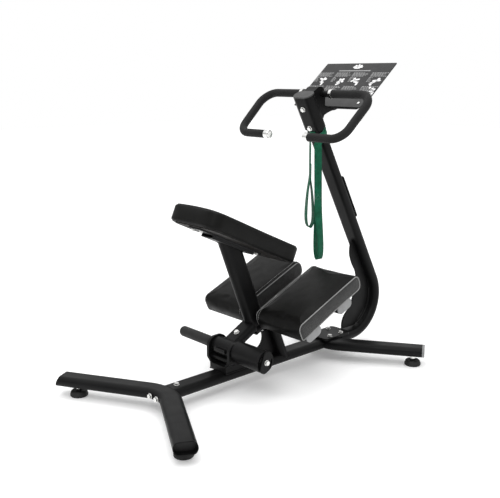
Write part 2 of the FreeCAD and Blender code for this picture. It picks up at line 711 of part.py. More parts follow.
def make_hub():
    """Tube around the pivot shaft with the stub that the arm is bolted over."""
    half = CHEEK_OUT - CHEEK_T - JOINT_GAP
    stub = oval_bar(PIVOT + ARM_DIR * 12, ARM_DIR, ARM_START - 12, SIDE)
    spigot_w = TUBE_W - 2 * WALL - 1
    spigot_h = TUBE_H - 2 * WALL - 1
    spigot = oval_bar(PIVOT + ARM_DIR * ARM_START, ARM_DIR, STUB_END - ARM_START, SIDE, spigot_w, spigot_h)
    tube = rod(PIVOT - SIDE * half, SIDE, 2 * half, HUB_R)
    lug_outline = [(PIVOT.x + 40 * polar(a).x, PIVOT.z + 40 * polar(a).z) for a in (172, 184, 196)]
    lug_outline.append((PIVOT.x + 20 * polar(190).x, PIVOT.z + 20 * polar(190).z))
    lug = side_plate(lug_outline, 60)
    hub = tube.fuse(stub).fuse(spigot).fuse(lug)
    hub = hub.cut(rod(PIVOT - SIDE * 80, SIDE, 160, SHAFT_R))
    seat = arm_bolt_seat()
    parts["pivot_hub"] = hub.cut(rod(seat - ARM_NORMAL * 16, ARM_NORMAL, 30, 5))


def arm_bolt_seat():
    return PIVOT + ARM_DIR * ARM_BOLT_T + ARM_NORMAL * (TUBE_H / 2)


def make_arm():
    seat = arm_bolt_seat()
    arm = oval_tube(PIVOT + ARM_DIR * ARM_START, ARM_DIR, ARM_END - ARM_START, SIDE)
    arm = arm.cut(rod(seat - ARM_NORMAL * 10, ARM_NORMAL, 20, 5))
    parts["rocker_arm"] = arm
    parts["arm_bolt"] = hex_bolt(seat, ARM_NORMAL, 14)
    rail = oval_tube(RAIL_ORIGIN - PAD_DIR * 30, PAD_DIR, RAIL_END + 30, SIDE, RAIL_W)
    below_arm = Part.makeBox(ARM_END - ARM_START, 100, 90, V(0, -50, -TUBE_H / 4 - 90))
    below_arm.Placement = frame_at(PIVOT + ARM_DIR * ARM_START, ARM_DIR, ARM_NORMAL)
    rail = rail.cut(arm_hull()).cut(below_arm)
    parts["pad_rail"] = max(rail.Solids, key=lambda s: s.Volume)
    parts["rail_plug"] = oval_bar(RAIL_ORIGIN + PAD_DIR * RAIL_END, PAD_DIR, 4, SIDE, RAIL_W)


def rail_hull():
    return oval_bar(RAIL_ORIGIN - PAD_DIR * 30, PAD_DIR, RAIL_END + 30, SIDE, RAIL_W)


def make_shaft():
    """Pivot shaft that turns with the rocker, and the keeper plate bolted to its end."""
    out = V(0, -1, 0)
    end = BARREL_END - JOINT_GAP
    start = V(PIVOT_X, CHEEK_OUT + 12, PIVOT_Z)
    length = start.y - end
    shaft = rod(start, out, length, SHAFT_R)
    seat = V(PIVOT_X, end - 7, PIVOT_Z)
    keeper_place = frame_at(V(PIVOT_X, end, PIVOT_Z), polar(70), out)
    keeper = prism(flat_oval(84, 42), keeper_place, 7)
    rim = [e for e in keeper.Edges if abs(e.CenterOfMass.y - seat.y) < 0.1]
    keeper = keeper.makeFillet(2, rim)
    hole = rod(seat + V(0, 30, 0), out, 40, 5)
    parts["pivot_shaft"] = shaft.cut(hole)
    parts["shaft_keeper"] = keeper.cut(hole)
    parts["keeper_bolt"] = hex_bolt(seat, out, 28)


CROSS_TUBE_S = (74.0, 258.0)
CROSS_END_Y = 252.0


def cross_hull(s):
    start = PAD_ORIGIN + PAD_DIR * s - PAD_UP * (TUBE_H / 2) - SIDE * CROSS_END_Y
    return oval_bar(start, SIDE, 2 * CROSS_END_Y, PAD_DIR, TUBE_W + WELD_GAP, TUBE_H + WELD_GAP)


POST_FOOT = V(-60.0, 0, 293.0)
BRACKET_DEPTH = 18.0
BRACKET_T = 6.0


def make_seat_post():
    plane_gap = BOARD_T + BRACKET_DEPTH
    under = SEAT_ORIGIN - SEAT_UP * plane_gap
    top_reach = (under - POST_FOOT).dot(SEAT_UP) / POST_UP.dot(SEAT_UP)
    post = oval_bar(POST_FOOT - POST_UP * 110, POST_UP, top_reach + 200, POST_FRONT, POST_W, POST_H)
    core = oval_bar(POST_FOOT - POST_UP * 112, POST_UP, top_reach + 210, POST_FRONT,
                    POST_W - 2 * WALL, POST_H - 2 * WALL)
    above = prism(circle_wire(300), frame_at(under + SEAT_DIR * 200, SEAT_DIR, SEAT_UP), 200)
    low_cut = PAD_ORIGIN - PAD_UP * 18
    below = prism(circle_wire(300), frame_at(low_cut, PAD_DIR, PAD_UP * -1), 300)
    post = post.cut(core).cut(above).cut(below)
    post = post.cut(arm_hull()).cut(rail_hull()).cut(cross_hull(CROSS_TUBE_S[0]))
    parts["seat_post"] = max(post.Solids, key=lambda s: s.Volume)


def seat_place(along, y, up):
    """Point given along the seat, across it and above its board's lower face."""
    return SEAT_ORIGIN + SEAT_DIR * along + SIDE * y + SEAT_UP * (up - BOARD_T)


SEAT_BOLTS_S = (44.0, 332.0)
BRACKET_BOX = 216.0      # length of the deep box that the post is welded to


def make_seat():
    board_frame = FreeCAD.Placement(seat_place(0, 0, 0), FreeCAD.Rotation(SEAT_DIR, SIDE, SEAT_UP, "ZXY"))
    board = rounded_slab(12, SEAT_LENGTH - 12, SEAT_WIDTH / 2 - 12, BOARD_T, 40)
    cushion = rounded_slab(0, SEAT_LENGTH, SEAT_WIDTH / 2, SEAT_T, 46)
    cushion.translate(V(0, 0, BOARD_T))
    top = [e for e in cushion.Edges if abs(e.CenterOfMass.z - BOARD_T - SEAT_T) < 0.1]
    cushion = cushion.makeFillet(14, top)
    channel = Part.makeBox(BRACKET_BOX, 64, BRACKET_DEPTH, V(96, -32, -BRACKET_DEPTH))
    hollow = Part.makeBox(BRACKET_BOX + 2, 56, BRACKET_DEPTH - BRACKET_T - 4, V(95, -28, 4 - BRACKET_DEPTH))
    plate = Part.makeBox(326, 74, BRACKET_T, V(26, -37, -BRACKET_T))
    ends = [e for e in plate.Edges if abs(e.tangentAt(e.FirstParameter).z) > 0.9]
    channel = channel.cut(hollow).fuse(plate.makeFillet(12, ends))
    bolts = []
    for s in SEAT_BOLTS_S:
        for y in (-22, 22):
            hole = Part.makeCylinder(4, BRACKET_T + 8, V(s, y, -BRACKET_T))
            channel = channel.cut(hole)
            board = board.cut(hole)
            bolts.append(hex_bolt(V(s, y, -BRACKET_T), V(0, 0, -1), BRACKET_T + 8, 4))
    shapes = {"seat_bracket": channel, "seat_board": board, "seat_cushion": cushion,
              "seat_bolts": group(bolts)}
    for name, shape in shapes.items():
        shape.Placement = board_frame
        parts[name] = shape


def rounded_slab(x_start, x_end, half_width, thickness, corner_r):
    slab = Part.makeBox(x_end - x_start, 2 * half_width, thickness, V(x_start, -half_width, 0))
    corners = [e for e in slab.Edges if abs(e.tangentAt(e.FirstParameter).z) > 0.9]
    return slab.makeFillet(corner_r, corners)


def make_knee_pads():
    pad_frame = FreeCAD.Placement(PAD_ORIGIN, FreeCAD.Rotation(PAD_DIR, SIDE, PAD_UP, "ZXY"))
    middle_y = PAD_INNER_Y + PAD_WIDTH / 2
    bolts = []
    boards = []
    for sign, name in ((1, "left"), (-1, "right")):
        board = rounded_slab(10, PAD_LENGTH - 12, PAD_WIDTH / 2 - 10, BOARD_T, 22)
        cushion = rounded_slab(0, PAD_LENGTH, PAD_WIDTH / 2, PAD_T, 24)
        cushion.translate(V(0, 0, BOARD_T))
        ends = [e for e in cushion.Edges if abs(e.CenterOfMass.z - BOARD_T - PAD_T) < 0.1]
        cushion = cushion.makeFillet(16, ends)
        for s in CROSS_TUBE_S:
            for y in (-45, 45):
                hole = Part.makeCylinder(4, 20, V(s, y, -12))
                board = board.cut(hole)
                bolts.append(hex_bolt(V(s, y + sign * middle_y, -TUBE_H), V(0, 0, -1), TUBE_H + 8, 4))
        board.translate(V(0, sign * middle_y, 0))
        cushion.translate(V(0, sign * middle_y, 0))
        board.Placement = pad_frame.multiply(board.Placement)
        cushion.Placement = pad_frame.multiply(cushion.Placement)
        boards.append(board)
        parts["knee_cushion_" + name] = cushion
    pad_bolts = group(bolts)
    pad_bolts.Placement = pad_frame
    parts["knee_boards"] = group(boards)
    parts["knee_pad_bolts"] = pad_bolts
    caps = []
    for k, s in enumerate(CROSS_TUBE_S):
        name = ("low_cross_tube", "high_cross_tube")[k]
        centre = PAD_ORIGIN + PAD_DIR * s - PAD_UP * (TUBE_H / 2)
        start = centre - SIDE * CROSS_END_Y
        tube = oval_tube(start, SIDE, 2 * CROSS_END_Y, PAD_DIR)
        tube = tube.cut(rail_hull())
        for bolt in bolts:
            placed = bolt.copy()
            placed.Placement = pad_frame
            tube = tube.cut(placed)
        parts[name] = tube
        for sign in (1, -1):
            end = centre + SIDE * sign * CROSS_END_Y
            out = V(0, sign, 0)
            plug = oval_bar(end - out * 15, out, 15, PAD_DIR, TUBE_W - 2 * WALL, TUBE_H - 2 * WALL)
            face = oval_bar(end, out, 4, PAD_DIR)
            caps.append(plug.fuse(face))
    parts["cross_tube_caps"] = group(caps)


# ---- straps --------------------------------------------------------------------------------
def make_strap(name, x, y, length, loop_top, turned):
    """Webbing tail that hangs from the mast and ends in a sewn, slightly open loop."""
    bottom = STRAP_TOP_Z - length
    half = STRAP_W / 2
    thick = 2 * STRAP_T
    tail = Part.makeBox(thick, STRAP_W, STRAP_TOP_Z - loop_top + 2, V(-thick / 2, -half, loop_top - 2))
    height = loop_top - bottom
    outer = LOOP_OPEN / 2 + STRAP_T
    inner = LOOP_OPEN / 2
    loop = Part.makeBox(2 * outer, STRAP_W, height, V(-outer, -half, bottom))
    gap = Part.makeBox(LOOP_OPEN, STRAP_W + 2, height - thick, V(-inner, -half - 1, bottom + STRAP_T))
    loop = loop.cut(gap)
    if turned:
        loop.rotate(V(0, 0, 0), UP, 90)
    strap = tail.fuse(loop)
    strap.translate(V(x, y, 0))
    parts[name] = strap


def make_straps():
    """Band round the mast below the head sleeve, and the two tails that hang from it."""
    low = MAST_START + MAST_UP * (SLEEVE_TOP_T - SLEEVE_LENGTH - 32)
    band = oval_bar(low, MAST_UP, 30, SIDE, TUBE_W + 2 * STRAP_T, TUBE_H + 2 * STRAP_T)
    band = band.cut(oval_bar(low - MAST_UP, MAST_UP, 32, SIDE, TUBE_W, TUBE_H))
    parts["strap_band"] = band
    make_strap("strap_right", 265.0, -48.0, 507.0, 681.0, False)
    make_strap("strap_left", 262.0, 2.0, 381.0, 778.0, True)


# ---- build ---------------------------------------------------------------------------------
def build():
    make_base()
    make_leg_caps()
    make_feet()
    make_mast()
    make_head()
    parts["frame_bolts"] = group(frame_bolts)
    make_back_plate()
    make_handlebar()
    make_clamp()
    make_placard()
    make_housing()
    make_barrel()
    make_peg()
    make_rest()
    make_hub()
    make_arm()
    make_shaft()
    make_seat_post()
    make_seat()
    make_knee_pads()
    make_straps()


build()
os.makedirs("parts", exist_ok=True)
for name, shape in parts.items():
    shape.exportStep("parts/" + name + ".step")
    box = shape.BoundBox
    span = (box.XMin, box.XMax, box.YMin, box.YMax, box.ZMin, box.ZMax)
    print(name, len(shape.Solids), shape.isValid(), "x %.0f..%.0f y %.0f..%.0f z %.0f..%.0f" % span)
print(len(parts), "nodes")
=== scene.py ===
import math

import bpy
from mathutils import Matrix, Vector


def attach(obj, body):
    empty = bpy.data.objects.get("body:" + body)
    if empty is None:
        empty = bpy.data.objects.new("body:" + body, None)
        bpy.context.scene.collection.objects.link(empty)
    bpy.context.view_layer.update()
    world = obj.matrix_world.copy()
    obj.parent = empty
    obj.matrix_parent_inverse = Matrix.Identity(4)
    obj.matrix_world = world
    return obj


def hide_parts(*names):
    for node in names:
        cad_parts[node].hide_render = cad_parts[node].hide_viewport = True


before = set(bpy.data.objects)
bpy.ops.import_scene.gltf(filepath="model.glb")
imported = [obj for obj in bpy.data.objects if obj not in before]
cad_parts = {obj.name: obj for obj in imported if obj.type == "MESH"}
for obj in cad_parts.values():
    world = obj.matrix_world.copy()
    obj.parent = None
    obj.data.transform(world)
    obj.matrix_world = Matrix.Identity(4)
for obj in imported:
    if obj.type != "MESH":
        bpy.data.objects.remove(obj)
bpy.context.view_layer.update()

# Looks for the kneeling stretch machine. Metres, the CAD's frame: +Z up, +X from the seat
# towards the mast, Y = 0 the middle plane, the floor at Z = 0.

UP = Vector((0, 0, 1))
SIDE = Vector((0, 1, 0))

# ---- places shared with the CAD ---------------------------------------------------------
TUBE_W, TUBE_H = 0.080, 0.040
FRAME_Z = 0.059
MAST_LEAN = 28.7
MAST_BEND_RADIUS = 0.157
MAST_BEND_X = 0.517
MAST_LENGTH = 0.908
SLEEVE_LENGTH = 0.142
BAND_DROP = 0.017        # middle of the strap band below the head sleeve's lower end
PLACARD_LOW = Vector((0.354, 0, 1.041))
PLACARD_HIGH = Vector((0.557, 0, 1.209))
PLACARD_W, PLACARD_T = 0.364, 0.003
SEAT_SLOPE, SEAT_LENGTH, SEAT_WIDTH, SEAT_T = 24.6, 0.448, 0.262, 0.052
SEAT_ORIGIN = Vector((-0.346, 0, 0.664))
BOARD_T = 0.010
PAD_SLOPE, PAD_LENGTH, PAD_WIDTH, PAD_T = 23.0, 0.350, 0.228, 0.054
PAD_INNER_Y = 0.040
PAD_ORIGIN = Vector((-0.051, 0, 0.2223))
POST_FOOT, POST_LEAN = Vector((-0.060, 0, 0.293)), 21.5
POST_W, POST_H = 0.084, 0.044
BRACKET_DEPTH = 0.018
REST_LEAN, REST_S, REST_GAP = 22.0, 0.080, 0.0124
PIVOT_X, CHEEK_R, HOUSING_FOOT_Y = -0.178, 0.046, 0.046
WEB_T = 0.008
COVER_WRAP = 0.009       # how far a cover is drawn down over its board


def polar(angle):
    a = math.radians(angle)
    return Vector((math.cos(a), 0, math.sin(a)))


MAST_UP = polar(90 + MAST_LEAN)
MAST_BACK = polar(MAST_LEAN)
MAST_START = Vector((MAST_BEND_X, 0, FRAME_Z + MAST_BEND_RADIUS)) + MAST_BACK * MAST_BEND_RADIUS


def axes_matrix(origin, x_dir, y_dir, z_dir):
    m = Matrix((x_dir, y_dir, z_dir)).transposed().to_4x4()
    m.translation = origin
    return m


SEAT_UP, PAD_UP = polar(90 - SEAT_SLOPE), polar(90 + PAD_SLOPE)
SEAT_FRAME = axes_matrix(SEAT_ORIGIN, polar(-SEAT_SLOPE), SIDE, SEAT_UP)
PAD_FRAME = axes_matrix(PAD_ORIGIN + PAD_UP * BOARD_T, polar(PAD_SLOPE), SIDE, PAD_UP)


# ---- material helpers ---------------------------------------------------------------------
class Look:
    """One Principled material and the short calls that add detail to it."""

    def __init__(self, name, metallic=0.0, specular=0.5, sheen=0.0):
        self.mat = bpy.data.materials.new(name)
        self.mat.use_nodes = True
        self.tree = self.mat.node_tree
        self.shader = self.tree.nodes["Principled BSDF"]
        self.set("Metallic", metallic)
        self.set("Specular IOR Level", specular)
        self.set("Sheen Weight", sheen)
        self.coords = self.add("ShaderNodeTexCoord").outputs["Object"]
        self.normal = None

    def set(self, socket, value):
        self.shader.inputs[socket].default_value = value

    def add(self, kind, **values):
        made = self.tree.nodes.new(kind)
        for key, value in values.items():
            setattr(made, key, value)
        return made

    def link(self, out, into):
        self.tree.links.new(out, into)

    def stretched(self, scale, turn=(0, 0, 0)):
        mapping = self.add("ShaderNodeMapping")
        mapping.inputs["Scale"].default_value = scale
        mapping.inputs["Rotation"].default_value = turn
        self.link(self.coords, mapping.inputs["Vector"])
        return mapping.outputs["Vector"]

    def noise(self, scale, detail=3.0, rough=0.55, vector=None):
        tex = self.add("ShaderNodeTexNoise")
        tex.inputs["Scale"].default_value = scale
        tex.inputs["Detail"].default_value = detail
        tex.inputs["Roughness"].default_value = rough
        self.link(vector or self.coords, tex.inputs["Vector"])
        return tex.outputs["Fac"]

    def cells(self, scale, feature="F1"):
        tex = self.add("ShaderNodeTexVoronoi", feature=feature)
        tex.inputs["Scale"].default_value = scale
        self.link(self.coords, tex.inputs["Vector"])
        return tex.outputs["Distance"]

    def bands(self, scale, direction, vector):
        tex = self.add("ShaderNodeTexWave", bands_direction=direction)
        tex.inputs["Scale"].default_value = scale
        self.link(vector, tex.inputs["Vector"])
        return tex.outputs["Fac"]

    def ramp(self, fac, dark, light):
        """Dark up to 0.3 of a noise and light from 0.7: nearly all of a noise lies between."""
        made = self.add("ShaderNodeValToRGB")
        for end, place, color in zip(made.color_ramp.elements, (0.3, 0.7), (dark, light)):
            end.position = place
            end.color = (*color, 1.0)
        self.link(fac, made.inputs["Fac"])
        return made.outputs["Color"]

    def remap(self, fac, low, high, from_low=0.3, from_high=0.7):
        made = self.add("ShaderNodeMapRange")
        ends = {"From Min": from_low, "From Max": from_high, "To Min": low, "To Max": high}
        for socket, value in ends.items():
            made.inputs[socket].default_value = value
        self.link(fac, made.inputs["Value"])
        return made.outputs["Result"]

    def math(self, operation, a, b):
        made = self.add("ShaderNodeMath", operation=operation)
        for socket, value in zip(made.inputs, (a, b)):
            if isinstance(value, float):
                socket.default_value = value
            else:
                self.link(value, socket)
        return made.outputs["Value"]

    def mix(self, fac, a, b):
        made = self.add("ShaderNodeMix", data_type="RGBA")
        self.link(fac, made.inputs["Factor"])
        for socket, value in ((made.inputs[6], a), (made.inputs[7], b)):
            if isinstance(value, tuple):
                socket.default_value = (*value, 1.0)
            else:
                self.link(value, socket)
        return made.outputs[2]

    def bevel(self, radius):
        made = self.add("ShaderNodeBevel", samples=4)
        made.inputs["Radius"].default_value = radius
        self.normal = made.outputs["Normal"]

    def bump(self, height, strength, distance):
        made = self.add("ShaderNodeBump")
        made.inputs["Strength"].default_value = strength
        made.inputs["Distance"].default_value = distance
        self.link(height, made.inputs["Height"])
        if self.normal:
            self.link(self.normal, made.inputs["Normal"])
        self.normal = made.outputs["Normal"]

    def finish(self, color, roughness):
        self.link(color, self.shader.inputs["Base Color"])
        self.link(roughness, self.shader.inputs["Roughness"])
        if self.normal:
            self.link(self.normal, self.shader.inputs["Normal"])
        return self.mat


def grey(value, tint=(1, 1, 1)):
    return tuple(value * t for t in tint)


def paint_look(name, value, tint=(1, 1, 1.04)):
    """Satin powder coat: fine orange peel, faint cloudy tone, edges rubbed a little lighter."""
    look = Look(name, specular=0.13)
    look.bevel(0.0016)
    edge = look.add("ShaderNodeVectorMath", operation="DOT_PRODUCT")
    look.link(look.normal, edge.inputs[0])
    look.link(look.add("ShaderNodeNewGeometry").outputs["Normal"], edge.inputs[1])
    worn = look.remap(edge.outputs["Value"], 1.0, 0.0, 0.80, 0.99)
    patchy = look.math("MULTIPLY", worn, look.remap(look.noise(45, 4), 0.0, 1.0, 0.42, 0.66))
    tone = look.ramp(look.noise(5, 3), grey(value * 0.8, tint), grey(value * 1.2, tint))
    color = look.mix(patchy, tone, grey(value * 2.6 + 0.008, tint))
    look.bump(look.noise(950, 2), 0.10, 0.0006)
    rough = look.remap(look.noise(14, 4), 0.36, 0.48)
    return look.finish(color, rough)


def metal_look(name, value, rough_low, rough_high, tint=(1, 1, 0.98)):
    look = Look(name, metallic=1.0)
    look.bevel(0.0008)
    color = look.ramp(look.noise(60, 3), grey(value * 0.82, tint), grey(value, tint))
    look.bump(look.noise(420, 3, vector=look.stretched((1, 1, 6))), 0.07, 0.0003)
    return look.finish(color, look.remap(look.noise(90, 4), rough_low, rough_high))


def rubber_look(name, value):
    look = Look(name, specular=0.35)
    look.bevel(0.001)
    color = look.ramp(look.noise(24, 4), grey(value * 0.75), grey(value * 1.3))
    look.bump(look.noise(700, 3), 0.35, 0.0004)
    return look.finish(color, look.remap(look.noise(30, 3), 0.55, 0.72))


def foam_look(name, value):
    """Closed-cell grip foam: tiny open pores with painted shade darkening their middles, over a soft, dusty
    black.
    """
    look = Look(name, specular=0.15, sheen=0.02)
    pores = look.cells(900)
    tone = look.noise(18, 4)
    color = look.ramp(tone, grey(value * 0.75), grey(value * 1.25))
    # painted shade: the colour darkens towards each pore's middle, where the bump sinks in
    dark = look.mix(look.remap(pores, 1.0, 0.0, 0.05, 0.3), color, grey(value * 0.35))
    look.bump(pores, 0.45, 0.0005)
    return look.finish(dark, look.remap(tone, 0.60, 0.78))


def vinyl_look(name, value, tint, grain=620, shine=(0.36, 0.50)):
    """Upholstery vinyl: pebbled grain with painted shade in the grooves between the pebbles, fine creases and
    slightly polished high spots.
    """
    look = Look(name, specular=0.11)
    pebble = look.cells(grain, feature="SMOOTH_F1")
    crease = look.noise(75, 5, 0.65, look.stretched((1, 2.2, 1)))
    tone = look.ramp(look.noise(9, 4), grey(value * 0.82, tint), grey(value * 1.22, tint))
    # painted shade: the colour darkens in the grooves between the pebbles, where the bump sinks
    pebble_color_with_groove_shade = look.mix(look.remap(pebble, 0.0, 0.7, 0.35, 0.75), tone, grey(value * 0.45, tint))
    look.bump(crease, 0.20, 0.0010)
    look.bump(pebble, 0.35, -0.0005)
    return look.finish(pebble_color_with_groove_shade, look.remap(look.noise(26, 4), *shine))


def weave_look(name, value, tint, pitch):
    """Plain woven cloth: over-and-under threads from two crossed sets of bands, with painted shade in the
    gaps between them.
    """
    look = Look(name, specular=0.25, sheen=0.20)
    scale = 6.2832 / (pitch * 20.0)     # the wave texture turns 20 radians per unit of scale
    turned = look.stretched((1, 1, 1), (0, math.radians(PAD_SLOPE), 0))
    warp = look.bands(scale, "X", turned)
    weft = look.bands(scale, "Z", turned)
    threads = look.math("MAXIMUM", warp, weft)
    crossing = look.math("MULTIPLY", warp, weft)
    tone = look.ramp(look.noise(20, 4), grey(value * 0.8, tint), grey(value * 1.25, tint))
    # painted shade: the colour darkens where the threads sink, in the gaps between them
    color = look.mix(look.remap(threads, 1.0, 0.0, 0.3, 0.9), tone, grey(value * 0.35, tint))
    look.bump(look.math("ADD", threads, crossing), 0.5, 0.0004)
    return look.finish(color, look.remap(look.noise(60, 2), 0.62, 0.8))


WEBBING_ROWS, WEBBING_STRANDS = 2600.0, 3400.0  # radians per metre, along and across


def webbing_look(name, dark, light):
    """Ribbed webbing: rows and strands that follow the strip, from its UVs in metres, with painted shade in
    the troughs between them.
    """
    look = Look(name, specular=0.15, sheen=0.08)
    uv = look.add("ShaderNodeTexCoord").outputs["UV"]
    split = look.add("ShaderNodeSeparateXYZ")
    look.link(uv, split.inputs["Vector"])
    rows = look.math("SINE", look.math("MULTIPLY", split.outputs["Y"], WEBBING_ROWS), 0.0)
    strands = look.math("SINE", look.math("MULTIPLY", split.outputs["X"], WEBBING_STRANDS), 0.0)
    cloth = look.math("MULTIPLY", rows, strands)
    tone = look.ramp(look.noise(34, 4), dark, light)
    # painted shade: the colour darkens in the troughs of the ribs, where the bump sinks
    color = look.mix(look.remap(cloth, 1.0, 0.0, -0.9, 0.4), tone, grey(0.35, dark))
    look.bump(cloth, 0.5, 0.0004)
    return look.finish(color, look.remap(look.noise(50, 2), 0.6, 0.8))


def plastic_look(name, value, tint=(1, 1, 1), shine=(0.38, 0.52)):
    look = Look(name, specular=0.22)
    look.bevel(0.0012)
    color = look.ramp(look.noise(30, 3), grey(value * 0.9, tint), grey(value * 1.08, tint))
    look.bump(look.noise(800, 2), 0.12, 0.0003)
    return look.finish(color, look.remap(look.noise(22, 3), *shine))


def wood_look(name, value):
    look = Look(name, specular=0.3)
    grain = look.noise(38, 6, 0.6, look.stretched((1, 14, 14)))
    color = look.ramp(grain, grey(value * 0.6, (1, 0.82, 0.66)), grey(value * 1.5, (1, 0.85, 0.7)))
    look.bump(grain, 0.3, 0.0006)
    return look.finish(color, look.remap(grain, 0.6, 0.8))


PAINT = paint_look("satin_black_paint", 0.0040)
PAINT_HEAD = paint_look("satin_black_paint_head", 0.0034)
PAINT_GREY = paint_look("satin_grey_paint", 0.020)
ZINC = metal_look("zinc_plate", 0.82, 0.18, 0.34)
CHROME = metal_look("polished_chrome", 0.86, 0.06, 0.14)
STEEL = metal_look("machined_steel", 0.55, 0.25, 0.42)
BRASS = metal_look("sintered_bronze", 0.5, 0.35, 0.5, (1, 0.72, 0.36))
RUBBER = rubber_look("black_rubber", 0.008)
GRIP = foam_look("grip_foam", 0.013)
CAP_PALE = plastic_look("pale_cap_plastic", 0.24, (1, 1.01, 1.02))
CAP_GREY = plastic_look("grey_cap_plastic", 0.27, (1, 1.01, 1.02))
CAP_DARK = plastic_look("dark_cap_plastic", 0.014)
CAP_HEAD = plastic_look("head_cap_plastic", 0.048)
VINYL = vinyl_look("black_vinyl", 0.0042, (1.0, 1.0, 0.92))
PANEL = weave_look("panel_cloth", 0.024, (1.0, 1.0, 0.97), 0.0016)
PIPING = vinyl_look("piping_vinyl", 0.26, (1, 1, 0.99), 900, (0.34, 0.44))
PIPING_DARK = vinyl_look("dark_piping_vinyl", 0.014, (1, 1, 0.98), 900, (0.30, 0.42))
BOARD = wood_look("stained_plywood", 0.008)
WEBBING = webbing_look("green_webbing", (0.004, 0.088, 0.042), (0.010, 0.165, 0.086))
WEBBING_PALE = webbing_look("pale_green_webbing", (0.06, 0.24, 0.17), (0.09, 0.34, 0.25))
THREAD = weave_look("pale_thread", 0.35, (0.8, 1, 0.9), 0.0008)
THREAD_GREY = weave_look("grey_thread", 0.30, (1, 1, 0.98), 0.0008)
PRINT_BACK = plastic_look("placard_dark", 0.026, (1, 1, 1.02), (0.50, 0.62))
PRINT_INK = plastic_look("placard_ink", 0.80, (1, 1, 1), (0.5, 0.6))
PRINT_SOFT = plastic_look("placard_soft_ink", 0.30, (1, 1, 1), (0.5, 0.6))
PRINT_FOOT = plastic_look("placard_footer", 0.048, (1, 1, 1), (0.5, 0.6))

NODE_LOOKS = {
    PAINT: "main_beam rear_leg front_leg mast mast_flange mast_web mast_back_plate bar_clamp pivot_housing "
           "stop_bar spring_barrel rest_post rest_gusset pivot_hub rocker_arm pad_rail seat_post "
           "low_cross_tube high_cross_tube shaft_keeper handlebar placard_bracket",
    PAINT_HEAD: "head_sleeve",
    PAINT_GREY: "seat_bracket",
    ZINC: "frame_bolts arm_bolt keeper_bolt seat_bolts knee_pad_bolts foot_nuts",
    CHROME: "grip_rings bar_caps placard_screws",
    STEEL: "beam_spigots pivot_shaft peg_tube",
    BRASS: "pivot_bushes",
    RUBBER: "torsion_rubber peg_sleeve rest_bumper foot_rear_left foot_rear_right foot_front_left "
            "foot_front_right",
    GRIP: "grip_left grip_right",
    CAP_PALE: "front_leg_caps",
    CAP_GREY: "cross_tube_caps",
    CAP_DARK: "rear_leg_caps rail_plug",
    CAP_HEAD: "head_cap",
    BOARD: "seat_board knee_boards",
    PRINT_BACK: "placard",
}


def dress(node, look):
    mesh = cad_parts[node].data
    mesh.materials.clear()
    mesh.materials.append(look)


for look, nodes in NODE_LOOKS.items():
    for node in nodes.split():
        dress(node, look)


# ---- mesh helpers -------------------------------------------------------------------------
def piece(name, verts, faces, look, body, smooth=True):
    """A mesh in the shared frame that rides on a body."""
    mesh = bpy.data.meshes.new(name)
    mesh.from_pydata([tuple(v) for v in verts], [], faces)
    mesh.validate()
    mesh.update()
    if smooth:
        mesh.shade_smooth()
    mesh.materials.append(look)
    obj = bpy.data.objects.new(name, mesh)
    bpy.context.scene.collection.objects.link(obj)
    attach(obj, body)
    return obj


def smooth_path(points, per_span):
    """Points on a Catmull-Rom curve through the given ones."""
    count = len(points)
    out = []
    for i in range(count - 1):
        a, b = points[max(i - 1, 0)], points[i]
        c, d = points[i + 1], points[min(i + 2, count - 1)]
        for k in range(per_span):
            t = k / per_span
            out.append(0.5 * (2 * b + (c - a) * t + (2 * a - 5 * b + 4 * c - d) * t * t
                              + (3 * b - a - 3 * c + d) * t ** 3))
    out.append(points[-1].copy())
    return out


def tube_mesh(path, radius, closed=False, sides=8, ripple=0.0, pitch=0.004):
    """Verts and faces of a round cord along a path; ripple swells it every pitch, as a weld's."""
    count = len(path)
    verts, faces = [], []
    side = None
    travelled = 0.0
    for i, here in enumerate(path):
        after = path[(i + 1) % count] if closed or i < count - 1 else here
        before = path[i - 1] if closed or i > 0 else here
        along = (after - before).normalized()
        if side is None:
            side = along.orthogonal().normalized()
        side = (side - along * side.dot(along)).normalized()
        up = along.cross(side)
        r = radius * (1 + ripple * math.sin(travelled / pitch * 2 * math.pi))
        travelled += (after - here).length
        for k in range(sides):
            a = 2 * math.pi * k / sides
            verts.append(here + side * (r * math.cos(a)) + up * (r * math.sin(a)))
    rings = count if closed else count - 1
    for i in range(rings):
        j = (i + 1) % count
        for k in range(sides):
            m = (k + 1) % sides
            faces.append((i * sides + k, i * sides + m, j * sides + m, j * sides + k))
    if not closed:
        faces.append(tuple(range(sides - 1, -1, -1)))
        faces.append(tuple(range((count - 1) * sides, count * sides)))
    return verts, faces


def rounded_rect(half_x, half_y, radii, step):
    """Closed loop of points round a rectangle, counter-clockwise from the lower left corner."""
    corners = [(-half_x, -half_y, 180), (half_x, -half_y, 270), (half_x, half_y, 0), (-half_x, half_y, 90)]
    arcs = []
    for (x, y, start), r in zip(corners, radii):
        cx = x - math.copysign(r, x)
        cy = y - math.copysign(r, y)
        count = max(3, round(r * math.pi / 2 / step))
        arcs.append([(cx + r * math.cos(math.radians(start + 90 * k / count)),
                      cy + r * math.sin(math.radians(start + 90 * k / count))) for k in range(count + 1)])
    loop = []
    for arc, following in zip(arcs, arcs[1:] + arcs[:1]):
        loop.extend(arc)
        (ax, ay), (bx, by) = arc[-1], following[0]
        count = max(1, round(math.hypot(bx - ax, by - ay) / step))
        loop.extend((ax + (bx - ax) * k / count, ay + (by - ay) * k / count) for k in range(1, count))
    return loop


